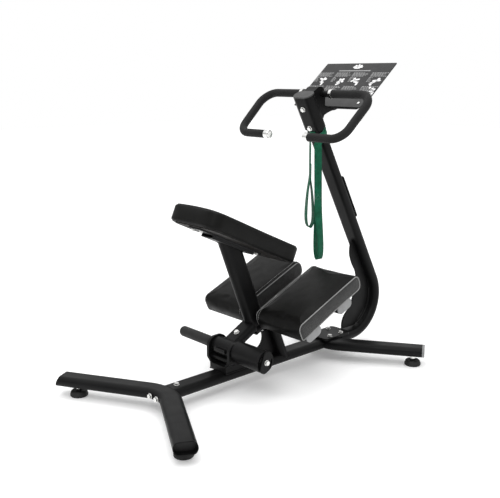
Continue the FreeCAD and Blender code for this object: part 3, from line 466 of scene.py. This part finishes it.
def bolster(loop, half_depth, edge, rings, levels):
    """Closed pad: a loop in XY, longer in X, carried along Z, with rounded rims and flat ends.
    Returns verts, faces, each vert's share of the way to a cap's middle (0 on the wall), and
    the first verts of the low and high rim with the count of verts in a row."""
    half_x = max(abs(x) for x, _ in loop)
    half_y = max(abs(y) for _, y in loop)
    reach = half_x - half_y
    middle = [(max(-reach, min(reach, x)), 0.0) for x, _ in loop]
    span = half_y
    count = len(loop)
    rows = []
    for k in range(1, rings + 1):
        rows.append((k / (rings + 1), -half_depth, 1))
    rows.reverse()
    turns = 4
    for k in range(turns):
        a = math.pi / 2 * k / turns
        rows.append((edge * (1 - math.sin(a)) / span, -half_depth + edge * (1 - math.cos(a)), 0))
    for k in range(levels + 1):
        rows.append((0.0, -half_depth + edge + (2 * half_depth - 2 * edge) * k / levels, 0))
    for k in range(turns - 1, -1, -1):
        a = math.pi / 2 * k / turns
        rows.append((edge * (1 - math.sin(a)) / span, half_depth - edge * (1 - math.cos(a)), 0))
    for k in range(1, rings + 1):
        rows.append((k / (rings + 1), half_depth, 2))
    verts, cap = [], []
    inset = edge / span
    for t, z, side in rows:
        if side:
            t = inset + (1 - inset) * t
        for (x, y), (mx, my) in zip(loop, middle):
            verts.append(Vector((x + (mx - x) * t, y + (my - y) * t, z)))
            cap.append(t if side else 0.0)
    faces = []
    for i in range(len(rows) - 1):
        for k in range(count):
            m = (k + 1) % count
            faces.append((i * count + k, i * count + m, (i + 1) * count + m, (i + 1) * count + k))
    for row, flip in ((0, True), (len(rows) - 1, False)):
        faces.extend(close_cap(row * count, count, verts, flip))
    low_rim = rings
    high_rim = len(rows) - rings - 1
    return verts, faces, cap, (low_rim * count, high_rim * count, count)


def close_cap(start, count, verts, flip):
    """Faces that zip a cap's last ring shut along its middle line."""
    left = min(range(count), key=lambda k: verts[start + k].x - verts[start + k].y * 1e-3)
    faces = []
    a, b = left, left
    for _ in range(count // 2):
        a2, b2 = (a + 1) % count, (b - 1) % count
        quad = [start + a, start + a2, start + b2, start + b]
        shape = list(dict.fromkeys(quad))
        if len(shape) > 2:
            faces.append(tuple(shape if not flip else reversed(shape)))
        a, b = a2, b2
        if a == b or (a + 1) % count == b:
            break
    return faces


COVER_PRESSURE = 2.0
COVER_CAP = 0.004        # how far the simulation may move a point
COVER_FRAMES = 16


def puff(obj, pinned):
    """Cloth simulation that fills the cover; the result is kept in the mesh, capped."""
    mesh = obj.data
    rest = [v.co.copy() for v in mesh.vertices]
    group = obj.vertex_groups.new(name="pinned")
    for weight, indices in pinned:
        group.add(indices, weight, "REPLACE")
    cloth = obj.modifiers.new("cover", "CLOTH")
    cloth.settings.quality = 6
    cloth.settings.mass = 0.25
    cloth.settings.tension_stiffness = 18
    cloth.settings.compression_stiffness = 12
    cloth.settings.bending_stiffness = 1.2
    cloth.settings.use_pressure = True
    cloth.settings.uniform_pressure_force = COVER_PRESSURE
    cloth.settings.vertex_group_mass = "pinned"
    cloth.settings.effector_weights.gravity = 0
    cloth.point_cache.frame_start = 1
    cloth.point_cache.frame_end = COVER_FRAMES
    scene = bpy.context.scene
    for number in range(1, COVER_FRAMES + 1):
        scene.frame_set(number)
    shown = obj.evaluated_get(bpy.context.evaluated_depsgraph_get()).data
    moved = [v.co.copy() for v in shown.vertices]
    obj.modifiers.remove(cloth)
    obj.vertex_groups.clear()
    scene.frame_set(1)
    for vert, was, now in zip(mesh.vertices, rest, moved):
        step = now - was
        if step.length > COVER_CAP:
            step *= COVER_CAP / step.length
        vert.co = was + step
    mesh.update()


# ---- cushions -----------------------------------------------------------------------------
PUCKER_PITCH, PUCKER_DEPTH = 0.017, 0.0005
SEAT_END_PROUD = 0.007   # how far the filled cover stands past each end of the seat
SEAT_CORNER = 0.046
SEAT_EDGE = 0.007        # radius of the seat pad's soft rim
SEAT_REAR_RISE = 0.002   # the seat is thicker towards its rear end
REAR_RISE_FROM, REAR_RISE_TO = 0.10, 0.62
SEAT_ARCH = 0.004        # crown across the seat's top
SEAT_PILLOW = 0.003      # and how much its middle stands over its rim
SEAT_MESH, PAD_MESH = 0.007, 0.0065
PAD_CORNERS = (0.010, 0.024, 0.021, 0.026)
PAD_PROUD = 0.009        # how far a knee pad's filled cover stands past its high end
PAD_RISE = 0.0035        # and over its top
NOSE_DROP = 0.007        # how much lower the cover reaches at a knee pad's low end
TOPSTITCH_ROWS = 5       # rows of the pad's mesh from a piped seam to its topstitch


def thread_runs(runs, radius, pitch, dash):
    """Verts and faces of stitches between pairs of points: one short raised dash every pitch,
    from the first to the second share of it."""
    verts, faces = [], []
    for a, b in runs:
        dashes = max(1, round((b - a).length / pitch))
        for k in range(dashes):
            start, end = (a.lerp(b, (k + share) / dashes) for share in dash)
            v, f = tube_mesh([start, end], radius, sides=5)
            faces.extend(tuple(i + len(verts) for i in face) for face in f)
            verts.extend(v)
    return verts, faces


def add_subdivision(obj):
    sub = obj.modifiers.new("subdivision", "SUBSURF")
    sub.levels = 1
    sub.render_levels = 1


def make_seat_cushion():
    """Boxed cushion: a nearly flat top with a slight crown, its cover drawn down over the board."""
    half_x, half_y = SEAT_LENGTH / 2 + SEAT_END_PROUD, SEAT_WIDTH / 2 - 0.001
    loop = rounded_rect(half_x, half_y, (SEAT_CORNER,) * 4, SEAT_MESH)
    half_t = SEAT_T / 2
    verts, faces, cap, rims = bolster(loop, half_t, SEAT_EDGE, 14, 6)
    shaped = []
    for v, t in zip(verts, cap):
        v = v.copy()
        mid_x = math.cos(min(1.0, abs(v.x) / half_x) * math.pi / 2)
        mid_y = math.cos(min(1.0, abs(v.y) / half_y) * math.pi / 2)
        rim = 1 - (v.z / half_t) ** 2 if t == 0 else 0.0
        share = (v.x / half_x / 2 + 0.5 - REAR_RISE_FROM) / (REAR_RISE_TO - REAR_RISE_FROM)
        fade = min(1.0, max(0.0, share))
        rear = 1 - fade * fade * (3 - 2 * fade)
        if v.z > 0:
            v.z += v.z / half_t * (SEAT_REAR_RISE * rear + SEAT_ARCH * mid_y)
            v.z += SEAT_PILLOW * (1 - (1 - t) ** 2.4)
        else:
            v.z *= 1 + COVER_WRAP * (1 - 0.4 * rear) / half_t
        v.x *= 1 - 0.006 * rim - 0.006 * mid_y * (abs(v.x) > half_x * 0.8)
        v.y *= 1 + 0.010 * rim - 0.010 * mid_x * (abs(v.y) > half_y * 0.8)
        shaped.append(v)
    obj = piece("seat_pad", shaped, faces, VINYL, "rocker")
    low, high, count = rims
    bottom = [i for i, v in enumerate(shaped) if v.z < -half_t]
    rim = list(range(high, high + count)) + list(range(low, low + count))
    puff(obj, [(1.0, bottom), (0.85, rim)])
    place = SEAT_FRAME @ Matrix.Translation((SEAT_LENGTH / 2, 0, half_t))
    seams = [[v.co.copy() for v in obj.data.vertices[start:start + count]] for start in (high, low)]
    for vert in obj.data.vertices:
        near = max(0.0, 1 - abs(abs(vert.co.z) - half_t) / 0.014)
        wave = math.sin((vert.co.x + vert.co.y) / PUCKER_PITCH * 2 * math.pi)
        vert.co += Vector((vert.co.x, vert.co.y, 0)).normalized() * (PUCKER_DEPTH * near * wave)
    obj.data.transform(place)
    add_subdivision(obj)
    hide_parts("seat_cushion")
    for name, seam in zip(("seat_piping_top", "seat_piping_low"), seams):
        out = [place @ (p + Vector((p.x, p.y, 0)).normalized() * 0.0008) for p in seam]
        verts, faces = tube_mesh(out, 0.0019, closed=True)
        piece(name, verts, faces, PIPING_DARK, "rocker")


def make_knee_cushion(name, sign):
    """Pad whose cover runs over the top and both ends, with piped cloth side panels."""
    middle_x = (PAD_LENGTH + PAD_PROUD) / 2
    half_x, half_z, half_w = middle_x - 0.001, PAD_T / 2, PAD_WIDTH / 2 - 0.001
    loop = rounded_rect(half_x, half_z, PAD_CORNERS, PAD_MESH)
    verts, faces, cap, rims = bolster(loop, half_w, 0.004, 6, 30)
    shaped = []
    for v, t in zip(verts, cap):
        x, up, y = v.x, v.y, v.z
        across = math.cos(min(1.0, abs(y) / half_w) * math.pi / 2)
        along = math.cos(min(1.0, abs(x) / half_x) * math.pi / 2)
        if up > 0:
            up += 0.0055 * (up / half_z) * (across ** 0.7) * (0.35 + 0.65 * along)
            up += PAD_RISE * (up / half_z) * (0.7 + 0.3 * x / half_x)
        else:
            nose = max(0.0, 0.1 - x / half_x) / 1.1
            up *= 1 + (COVER_WRAP + NOSE_DROP * nose) / half_z
        if t:
            y += math.copysign(0.0035 * (1 - (1 - t) ** 2), y)
        y *= 1 - 0.010 * along * (1 if abs(y) > half_w * 0.8 else 0)
        shaped.append(Vector((x, y, up)))
    faces = [tuple(reversed(f)) for f in faces]
    obj = piece(name, shaped, faces, VINYL, "rocker")
    obj.data.materials.append(PANEL)
    low, high, count = rims
    for face in obj.data.polygons:
        if max(face.vertices) < low + count or min(face.vertices) >= high:
            face.material_index = 1
    bottom = [i for i, v in enumerate(shaped) if v.z < -half_z]
    seam = list(range(high, high + count)) + list(range(low, low + count))
    puff(obj, [(1.0, bottom), (0.85, seam)])
    middle_y = sign * (PAD_INNER_Y + PAD_WIDTH / 2)
    place = PAD_FRAME @ Matrix.Translation((middle_x, middle_y, half_z))
    seams = [[v.co.copy() for v in obj.data.vertices[start:start + count]] for start in (low, high)]
    step = TOPSTITCH_ROWS * count
    inner_row = low + step if sign > 0 else high - step
    sewn = obj.data.vertices[inner_row:inner_row + count]
    topstitch = [place @ (v.co + UP * 0.0005) for v in sewn if v.co.z > 0]
    for vert in obj.data.vertices:
        if vert.co.z > -half_z + 0.006:
            near = max(0.0, 1 - (half_w - abs(vert.co.y)) / 0.016)
            wave = math.sin(vert.co.x / PUCKER_PITCH * 2 * math.pi + vert.co.z * 90)
            vert.co.z += PUCKER_DEPTH * near * wave
    obj.data.transform(place)
    add_subdivision(obj)
    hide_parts(name.replace("knee_pad", "knee_cushion"))
    ends = ("inner", "outer") if sign > 0 else ("outer", "inner")
    for seam_points, end in zip(seams, ends):
        out = []
        for p in seam_points:
            q = p.copy()
            q.y += math.copysign(0.0008, p.y)
            q.z += 0.0008 if p.z > 0 else 0.0
            out.append(place @ q)
        verts, faces = tube_mesh(out, 0.0021, closed=True)
        piece(name + "_piping_" + end, verts, faces, PIPING, "rocker")
    runs = zip(topstitch, topstitch[1:])
    verts, faces = thread_runs(runs, 0.0009, 0.006, (0.08, 0.90))
    piece(name + "_topstitch", verts, faces, THREAD_GREY, "rocker")


make_seat_cushion()
make_knee_cushion("knee_pad_left", 1)
make_knee_cushion("knee_pad_right", -1)


# ---- straps -------------------------------------------------------------------------------
STRAP_W, STRAP_T = 0.030, 0.0017
STITCH_OVERLAP = 0.045
BAND_LOWER, BAND_TILT = 0.007, 0.009    # the band sits low, and lowest at the front
HITCH_GAP = 0.0045       # a loop's webbing lies over the band where it is hitched to it
# how far down a loop, as a share of its height, and how far it is open there
LOOP_PROFILE = [(0.08, 0.10), (0.18, 0.30), (0.32, 0.56), (0.48, 0.78), (0.64, 0.94), (0.78, 1.0),
                (0.90, 0.86), (0.965, 0.55), (0.995, 0.2)]


def ribbon(name, path, across, look, closed=False):
    """A webbing strip: path points, and for each the direction of its width."""
    count = len(path)
    columns = 4
    verts, faces, uvs = [], [], []
    travelled = 0.0
    for i, (p, w) in enumerate(zip(path, across)):
        for k in range(columns + 1):
            u = k / columns - 0.5
            verts.append(p + w.normalized() * (u * STRAP_W))
            uvs.append((u * STRAP_W, travelled))
        if i < count - 1:
            travelled += (path[i + 1] - p).length
    for i in range(count if closed else count - 1):
        j = (i + 1) % count
        for k in range(columns):
            a = i * (columns + 1) + k
            b = j * (columns + 1) + k
            faces.append((a, a + 1, b + 1, b))
    obj = piece(name, verts, faces, look, "frame")
    layer = obj.data.uv_layers.new(name="strip")
    for loop in obj.data.loops:
        layer.data[loop.index].uv = uvs[loop.vertex_index]
    solid = obj.modifiers.new("thickness", "SOLIDIFY")
    solid.thickness = STRAP_T
    solid.offset = 0
    return obj, travelled


def turn_about_z(vector, degrees):
    return Matrix.Rotation(math.radians(degrees), 3, "Z") @ vector


def make_loop_strap(name, top, joint_z, bottom_z, facing, twist, opening, lean, hitch):
    """Tail from the mast, a sewn joint and an open hand loop; facing is the tail's normal."""
    length = joint_z - bottom_z
    path, across = [], []

    def put(height, out_share, out, back=0.0):
        depth = max(0.0, min(1.0, (joint_z - height) / length))
        normal = turn_about_z(facing, twist * min(1.0, depth * 1.4))
        sway = lean * max(0.0, (top.z - height) / (top.z - bottom_z)) ** 1.3
        spot = Vector((top.x, top.y, height)) + normal * (out * out_share + back) + sway
        path.append(spot)
        across.append(normal.cross(UP))

    for p, w in hitch:      # over the band
        path.append(p)
        across.append(w)
    steps = 10
    for k in range(steps + 1):
        put(top.z + (joint_z + 0.002 - top.z) * k / steps, 0, 0)
    half = opening / 2
    for share, out in LOOP_PROFILE:
        put(joint_z - length * share, out, half)
    for share, out in reversed(LOOP_PROFILE):
        put(joint_z - length * share, out, -half)
    for k in range(4):
        put(joint_z + STITCH_OVERLAP * k / 3, 0, 0, -STRAP_T - 0.0004)
    line = smooth_path(path, 5)
    widths = smooth_path(across, 5)
    obj, cloth = ribbon(name, line, widths, WEBBING)
    stitches(name, Vector((top.x, top.y, joint_z)), facing, lean * 0.4)
    return obj, cloth


def stitches(name, centre, facing, sway):
    """Box of thread runs through the sewn overlap at the loop's top."""
    across = facing.cross(UP).normalized()
    out = facing.normalized() * (STRAP_T * 0.75)
    half_w, height = STRAP_W / 2 - 0.0035, STITCH_OVERLAP - 0.012
    low = centre + UP * 0.005 + out + sway
    box_and_cross = [(-1, 0, 1, 0), (-1, 1, 1, 1), (-1, 0, -1, 1), (1, 0, 1, 1), (-1, 0, 1, 1), (-1, 1, 1, 0)]
    runs = [(low + across * (x0 * half_w) + UP * (z0 * height),
             low + across * (x1 * half_w) + UP * (z1 * height)) for x0, z0, x1, z1 in box_and_cross]
    verts, faces = thread_runs(runs, 0.00038, 0.0032, (0.15, 0.80))
    piece(name + "_stitching", verts, faces, THREAD, "frame")


def band_point(angle, height, gap=0.0014):
    """Point on the flat-oval round the mast, angle 0 at its front face, turning to the left."""
    r = TUBE_H / 2 + gap
    flat = TUBE_W / 2 - TUBE_H / 2
    direction = (-math.cos(angle), math.sin(angle))
    y = math.copysign(flat, direction[1]) * min(1.0, abs(direction[1]) * 1.6) + r * direction[1]
    back = r * direction[0]
    middle = MAST_START + MAST_UP * (MAST_LENGTH - SLEEVE_LENGTH - BAND_DROP)
    return middle + MAST_BACK * back + SIDE * y + MAST_UP * height


def make_straps():
    count = 64
    turns = [2 * math.pi * k / count for k in range(count)]
    ring = [band_point(turn, -BAND_LOWER - BAND_TILT * math.cos(turn)) for turn in turns]
    band, around = ribbon("strap_band_loop", ring, [MAST_UP] * count, WEBBING_PALE, closed=True)
    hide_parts("strap_band")
    broad = Vector((-0.674, -0.738, 0))
    wrap = band_point(math.radians(-90), -0.006, HITCH_GAP)
    higher = band_point(math.radians(-118), 0.004, HITCH_GAP)
    hitch = [(higher, MAST_UP), (wrap, (MAST_UP + Vector((0.3, 0, 0.2))).normalized())]
    right, cloth = make_loop_strap("hand_loop_right", Vector((0.256, -0.046, 0.905)), 0.681, 0.440, broad,
                                   38, 0.027, Vector((0.015, 0, 0)), hitch)
    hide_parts("strap_right")
    front = band_point(0.0, -0.002, HITCH_GAP)
    front_high = band_point(0.0, 0.012, 0.0030)
    hitch = [(front_high, SIDE), (front, SIDE)]
    left, cloth = make_loop_strap("hand_loop_left", Vector((0.262, 0.002, 0.915)), 0.778, 0.565,
                                  turn_about_z(broad, -82), 10, 0.031, Vector((0.003, 0, 0)), hitch)
    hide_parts("strap_left")


make_straps()


# ---- placard print ------------------------------------------------------------------------
PRINT_LIFT = 0.00015
PLACARD_TALL = (PLACARD_HIGH - PLACARD_LOW).length
PLACARD_UP = (PLACARD_HIGH - PLACARD_LOW).normalized()
PLACARD_FRAME = axes_matrix(PLACARD_LOW, SIDE * -1, PLACARD_UP, PLACARD_UP.cross(SIDE))


def flat_shapes(name, outlines, look):
    """Thin printed shapes on the placard's front, from outlines in its own X and Y."""
    lift = PLACARD_T + PRINT_LIFT
    verts, faces = [], []
    for outline in outlines:
        start = len(verts)
        verts.extend(PLACARD_FRAME @ Vector((x, y, lift)) for x, y in outline)
        faces.append(tuple(range(start, start + len(outline))))
    return piece(name, verts, faces, look, "frame", smooth=False)


def disc(x, y, r, count=20):
    return [(x + r * math.cos(2 * math.pi * k / count), y + r * math.sin(2 * math.pi * k / count))
            for k in range(count)]


def limb(x0, y0, x1, y1, width):
    """A bar with round ends between two points."""
    turn = math.atan2(y1 - y0, x1 - x0)
    r = width / 2
    out = []
    for (x, y), start in (((x1, y1), turn - math.pi / 2), ((x0, y0), turn + math.pi / 2)):
        out.extend((x + r * math.cos(start + math.pi * k / 6), y + r * math.sin(start + math.pi * k / 6))
                   for k in range(7))
    return out


def bar(x, y, w, h):
    return [(x, y), (x + w, y), (x + w, y + h), (x, y + h)]


POSES = [
    [(0, 16, 4, 27), (4, 27, -7, 33), (0, 16, 10, 12), (10, 12, 8, 2), (4, 27, 12, 30)],
    [(0, 14, 8, 24), (8, 24, 16, 17), (0, 14, 9, 9), (9, 9, 2, 2), (8, 24, 3, 30)],
    [(0, 15, -5, 26), (-5, 26, 7, 30), (0, 15, 10, 14), (10, 14, 10, 2), (-5, 26, -12, 20)],
    [(0, 14, 6, 25), (6, 25, -4, 22), (0, 14, -9, 9), (-9, 9, -3, 1), (6, 25, 15, 24)],
]
HEADS = [(6, 34), (13, 29), (-8, 33), (9, 32)]
FIGURE_X = (-0.140, -0.047, 0.044, 0.140)
FIGURE_Y = 0.129         # feet of the four figures above the placard's low edge
FOOTER_H = 0.057
FIGURE_LIMB = 0.0095
BLOCK_W = 0.080          # the rows of bars round each figure
BAR_H, BAR_GAP = 0.0036, 0.0028


def figure(x, y, wide, tall, pose, head):
    """A plain bending figure: round-ended limbs and a disc for the head."""
    shapes = [limb(x + a * wide, y + b * tall, x + c * wide, y + d * tall, FIGURE_LIMB)
              for a, b, c, d in pose]
    shapes.append(disc(x + head[0] * wide, y + head[1] * tall, FIGURE_LIMB * 0.7))
    return shapes


def row_of_bars(x, y, width, seed):
    """One row of short plain bars, of uneven lengths, in place of a line of text."""
    out = []
    at = x
    k = seed
    while at < x + width - 0.004:
        k += 1
        long = min(x + width - at, 0.006 + 0.006 * abs(math.sin(k * 2.3)))
        out.append(bar(at, y, long, BAR_H))
        at += long + BAR_GAP
    return out


def make_placard_print():
    """Four bending figures among rows of bars, an emblem and a title bar above, a footer band below."""
    ink, soft = [], []
    for k, x in enumerate(FIGURE_X):
        ink.extend(figure(x, FIGURE_Y, 0.0016, 0.00115, POSES[k], HEADS[k]))
        left = x - BLOCK_W / 2
        for row in range(4):
            width = BLOCK_W - 0.010 * ((row + k) % 3)
            soft.extend(row_of_bars(left, 0.201 - row * 0.0066, width, k * 7 + row))
        for row in range(4):
            soft.extend(row_of_bars(left, 0.172 - row * 0.0075, 0.018, k * 5 + row))
        for row in range(8):
            width = BLOCK_W - 0.012 * ((row * 2 + k) % 3)
            soft.extend(row_of_bars(left, 0.118 - row * 0.0074, width, k * 3 + row))
    ink.extend(figure(FIGURE_X[3] + 0.026, 0.072, 0.0008, 0.0011, POSES[2], HEADS[2]))
    top = PLACARD_TALL - 0.024
    for k in range(5):
        turn = math.radians(90 + (k - 2) * 44)
        ink.append(limb(0.005 * math.cos(turn), top + 0.003 * math.sin(turn), 0.021 * math.cos(turn),
                        top + 0.013 * math.sin(turn), 0.0085))
    ink.append(limb(-0.014, top - 0.007, 0.012, top - 0.007, 0.0050))
    soft.append(bar(-0.085, 0.2135, 0.165, 0.0055))
    margin = 0.001
    footer = [bar(margin - PLACARD_W / 2, margin, PLACARD_W - 2 * margin, FOOTER_H)]
    flat_shapes("placard_figures", ink, PRINT_INK)
    flat_shapes("placard_rows", soft, PRINT_SOFT)
    flat_shapes("placard_footer", footer, PRINT_FOOT)


make_placard_print()


# ---- weld beads ---------------------------------------------------------------------------
WELD_R = 0.0026
WELD_LIFT = 0.001        # a straight bead's middle stands this far off the corner
BEAD_EXTRA = 0.004       # added to the mast's width and height for the bead under the sleeve
WEB_ARC = range(-62, 29, 6)


def oval_outline(centre, x_dir, y_dir, width, height, count=64):
    """Points round a flat-oval whose broad side lies along y_dir."""
    r = height / 2
    flat = width / 2 - r
    out = []
    for k in range(count):
        a = 2 * math.pi * k / count
        y = math.copysign(flat, math.sin(a)) * min(1.0, abs(math.sin(a)) * 2.2) + r * math.sin(a)
        out.append(centre + x_dir * (r * math.cos(a)) + y_dir * y)
    return out


def weld(name, path, body):
    verts, faces = tube_mesh(path, WELD_R, ripple=0.16)
    return piece(name, verts, faces, PAINT, body)


def dense(points, step=0.0016):
    out = []
    for a, b in zip(points, points[1:]):
        count = max(1, round((b - a).length / step))
        out.extend(a.lerp(b, k / count) for k in range(count))
    out.append(points[-1])
    return out


def carried_to(points, axis, plane_point, normal):
    """The points moved along an axis until they lie on a plane."""
    return [p + axis * ((plane_point - p).dot(normal) / axis.dot(normal)) for p in points]


def make_welds():
    sleeve_low = MAST_START + MAST_UP * (MAST_LENGTH - SLEEVE_LENGTH)
    section = oval_outline(sleeve_low, MAST_BACK, SIDE, TUBE_W + BEAD_EXTRA, TUBE_H + BEAD_EXTRA)
    weld("weld_sleeve", dense(section), "frame")
    post_up, post_front = polar(90 + POST_LEAN), polar(POST_LEAN)
    under = SEAT_ORIGIN - SEAT_UP * (BOARD_T + BRACKET_DEPTH)
    section = oval_outline(POST_FOOT, SIDE, post_front, POST_W, POST_H)
    top = carried_to(section, post_up, under, SEAT_UP)
    weld("weld_seat_post", dense(top + top[:1]), "rocker")
    rest_up = polar(90 + REST_LEAN)
    rest_head = PAD_ORIGIN + polar(PAD_SLOPE) * REST_S - PAD_UP * (TUBE_H + REST_GAP)
    section = oval_outline(rest_head, polar(REST_LEAN), SIDE, TUBE_W, TUBE_H)
    foot = carried_to(section, rest_up, Vector((0, 0, FRAME_Z + TUBE_H / 2)), UP)
    flat_foot = [p for p in foot if abs(p.y) < TUBE_W / 2 - TUBE_H / 2]
    middle_x = sum(p.x for p in foot) / len(foot)
    for name, x_sign in (("weld_rest_front", 1), ("weld_rest_back", -1)):
        side = sorted((p for p in flat_foot if (p.x - middle_x) * x_sign > 0), key=lambda p: p.y)
        weld(name, dense(side), "frame")
    for name, sign in (("weld_housing_left", 1), ("weld_housing_right", -1)):
        y = sign * HOUSING_FOOT_Y
        z = FRAME_Z + TUBE_H / 2 + WELD_LIFT
        ends = [Vector((x, y, z)) for x in (PIVOT_X - CHEEK_R, PIVOT_X + CHEEK_R)]
        weld(name, dense(ends), "frame")
    for name, sign in (("weld_web_left", 1), ("weld_web_right", -1)):
        y = sign * (WEB_T / 2 + WELD_LIFT)
        arc = [Vector((MAST_BEND_X, y, FRAME_Z + MAST_BEND_RADIUS))
               + polar(turn) * (MAST_BEND_RADIUS - TUBE_H / 2) for turn in WEB_ARC]
        weld(name, dense(arc), "frame")


make_welds()

# ---- stage, lights and camera ---------------------------------------------------------------
CAMERA_PLACE = Vector((-1.9694, -2.0898, 1.1602))
CAMERA_YAW, CAMERA_PITCH = 47.6, -12.66
CAMERA_LENS = 55.43
FLOOR_HALF, FLOOR_GLOW = 14.0, 0.14
DOME_LOW, DOME_HIGH = 0.42, 1.55        # strength of the surround's light, level and overhead


def make_stage():
    mesh = bpy.data.meshes.new("floor")
    corners = ((-1, -1), (1, -1), (1, 1), (-1, 1))
    mesh.from_pydata([(x * FLOOR_HALF, y * FLOOR_HALF, 0) for x, y in corners], [], [(0, 1, 2, 3)])
    look = Look("pale_floor", specular=0.0)
    look.set("Emission Color", (1, 1, 1, 1))
    look.set("Emission Strength", FLOOR_GLOW)
    tone = look.ramp(look.noise(0.7, 2), grey(0.92), grey(0.94))
    mesh.materials.append(look.finish(tone, look.remap(look.noise(2, 2), 0.75, 0.85)))
    floor = bpy.data.objects.new("floor", mesh)
    bpy.context.scene.collection.objects.link(floor)


def area_light(name, place, target, size, power):
    data = bpy.data.lights.new(name, "AREA")
    data.shape = "DISK"
    data.size = size
    data.energy = power
    light = bpy.data.objects.new(name, data)
    bpy.context.scene.collection.objects.link(light)
    light.location = place
    light.rotation_euler = (Vector(target) - Vector(place)).to_track_quat("-Z", "Y").to_euler()


def make_lights():
    """A white surround behind everything, and a soft overhead dome that lights it."""
    world = bpy.data.worlds.new("studio")
    world.use_nodes = True
    tree = world.node_tree
    dome = tree.nodes["Background"]
    backdrop = tree.nodes.new("ShaderNodeBackground")
    for background in (dome, backdrop):
        background.inputs["Color"].default_value = (1, 1, 1, 1)
    split = tree.nodes.new("ShaderNodeSeparateXYZ")
    tree.links.new(tree.nodes.new("ShaderNodeTexCoord").outputs["Generated"], split.inputs["Vector"])
    rise = tree.nodes.new("ShaderNodeMapRange")
    for socket, value in (("From Min", 0.0), ("From Max", 1.0), ("To Min", DOME_LOW), ("To Max", DOME_HIGH)):
        rise.inputs[socket].default_value = value
    tree.links.new(split.outputs["Z"], rise.inputs["Value"])
    tree.links.new(rise.outputs["Result"], dome.inputs["Strength"])
    choose = tree.nodes.new("ShaderNodeMixShader")
    tree.links.new(tree.nodes.new("ShaderNodeLightPath").outputs["Is Camera Ray"], choose.inputs["Fac"])
    tree.links.new(dome.outputs["Background"], choose.inputs[1])
    tree.links.new(backdrop.outputs["Background"], choose.inputs[2])
    tree.links.new(choose.outputs["Shader"], tree.nodes["World Output"].inputs["Surface"])
    bpy.context.scene.world = world
    area_light("key", (-2.2, -1.2, 3.2), (0, 0, 0.4), 1.8, 28)
    area_light("top", (0.3, 0.6, 3.6), (0, 0, 0.3), 2.5, 24)


def make_camera():
    data = bpy.data.cameras.new("camera")
    data.sensor_width = 36.0
    data.lens = CAMERA_LENS
    camera = bpy.data.objects.new("camera", data)
    bpy.context.scene.collection.objects.link(camera)
    yaw, pitch = math.radians(CAMERA_YAW), math.radians(CAMERA_PITCH)
    look_at = Vector((math.cos(yaw) * math.cos(pitch), math.sin(yaw) * math.cos(pitch), math.sin(pitch)))
    camera.location = CAMERA_PLACE
    camera.rotation_euler = look_at.to_track_quat("-Z", "Y").to_euler()
    bpy.context.scene.camera = camera


make_stage()
make_lights()
make_camera()
bpy.context.scene.view_settings.view_transform = "Standard"
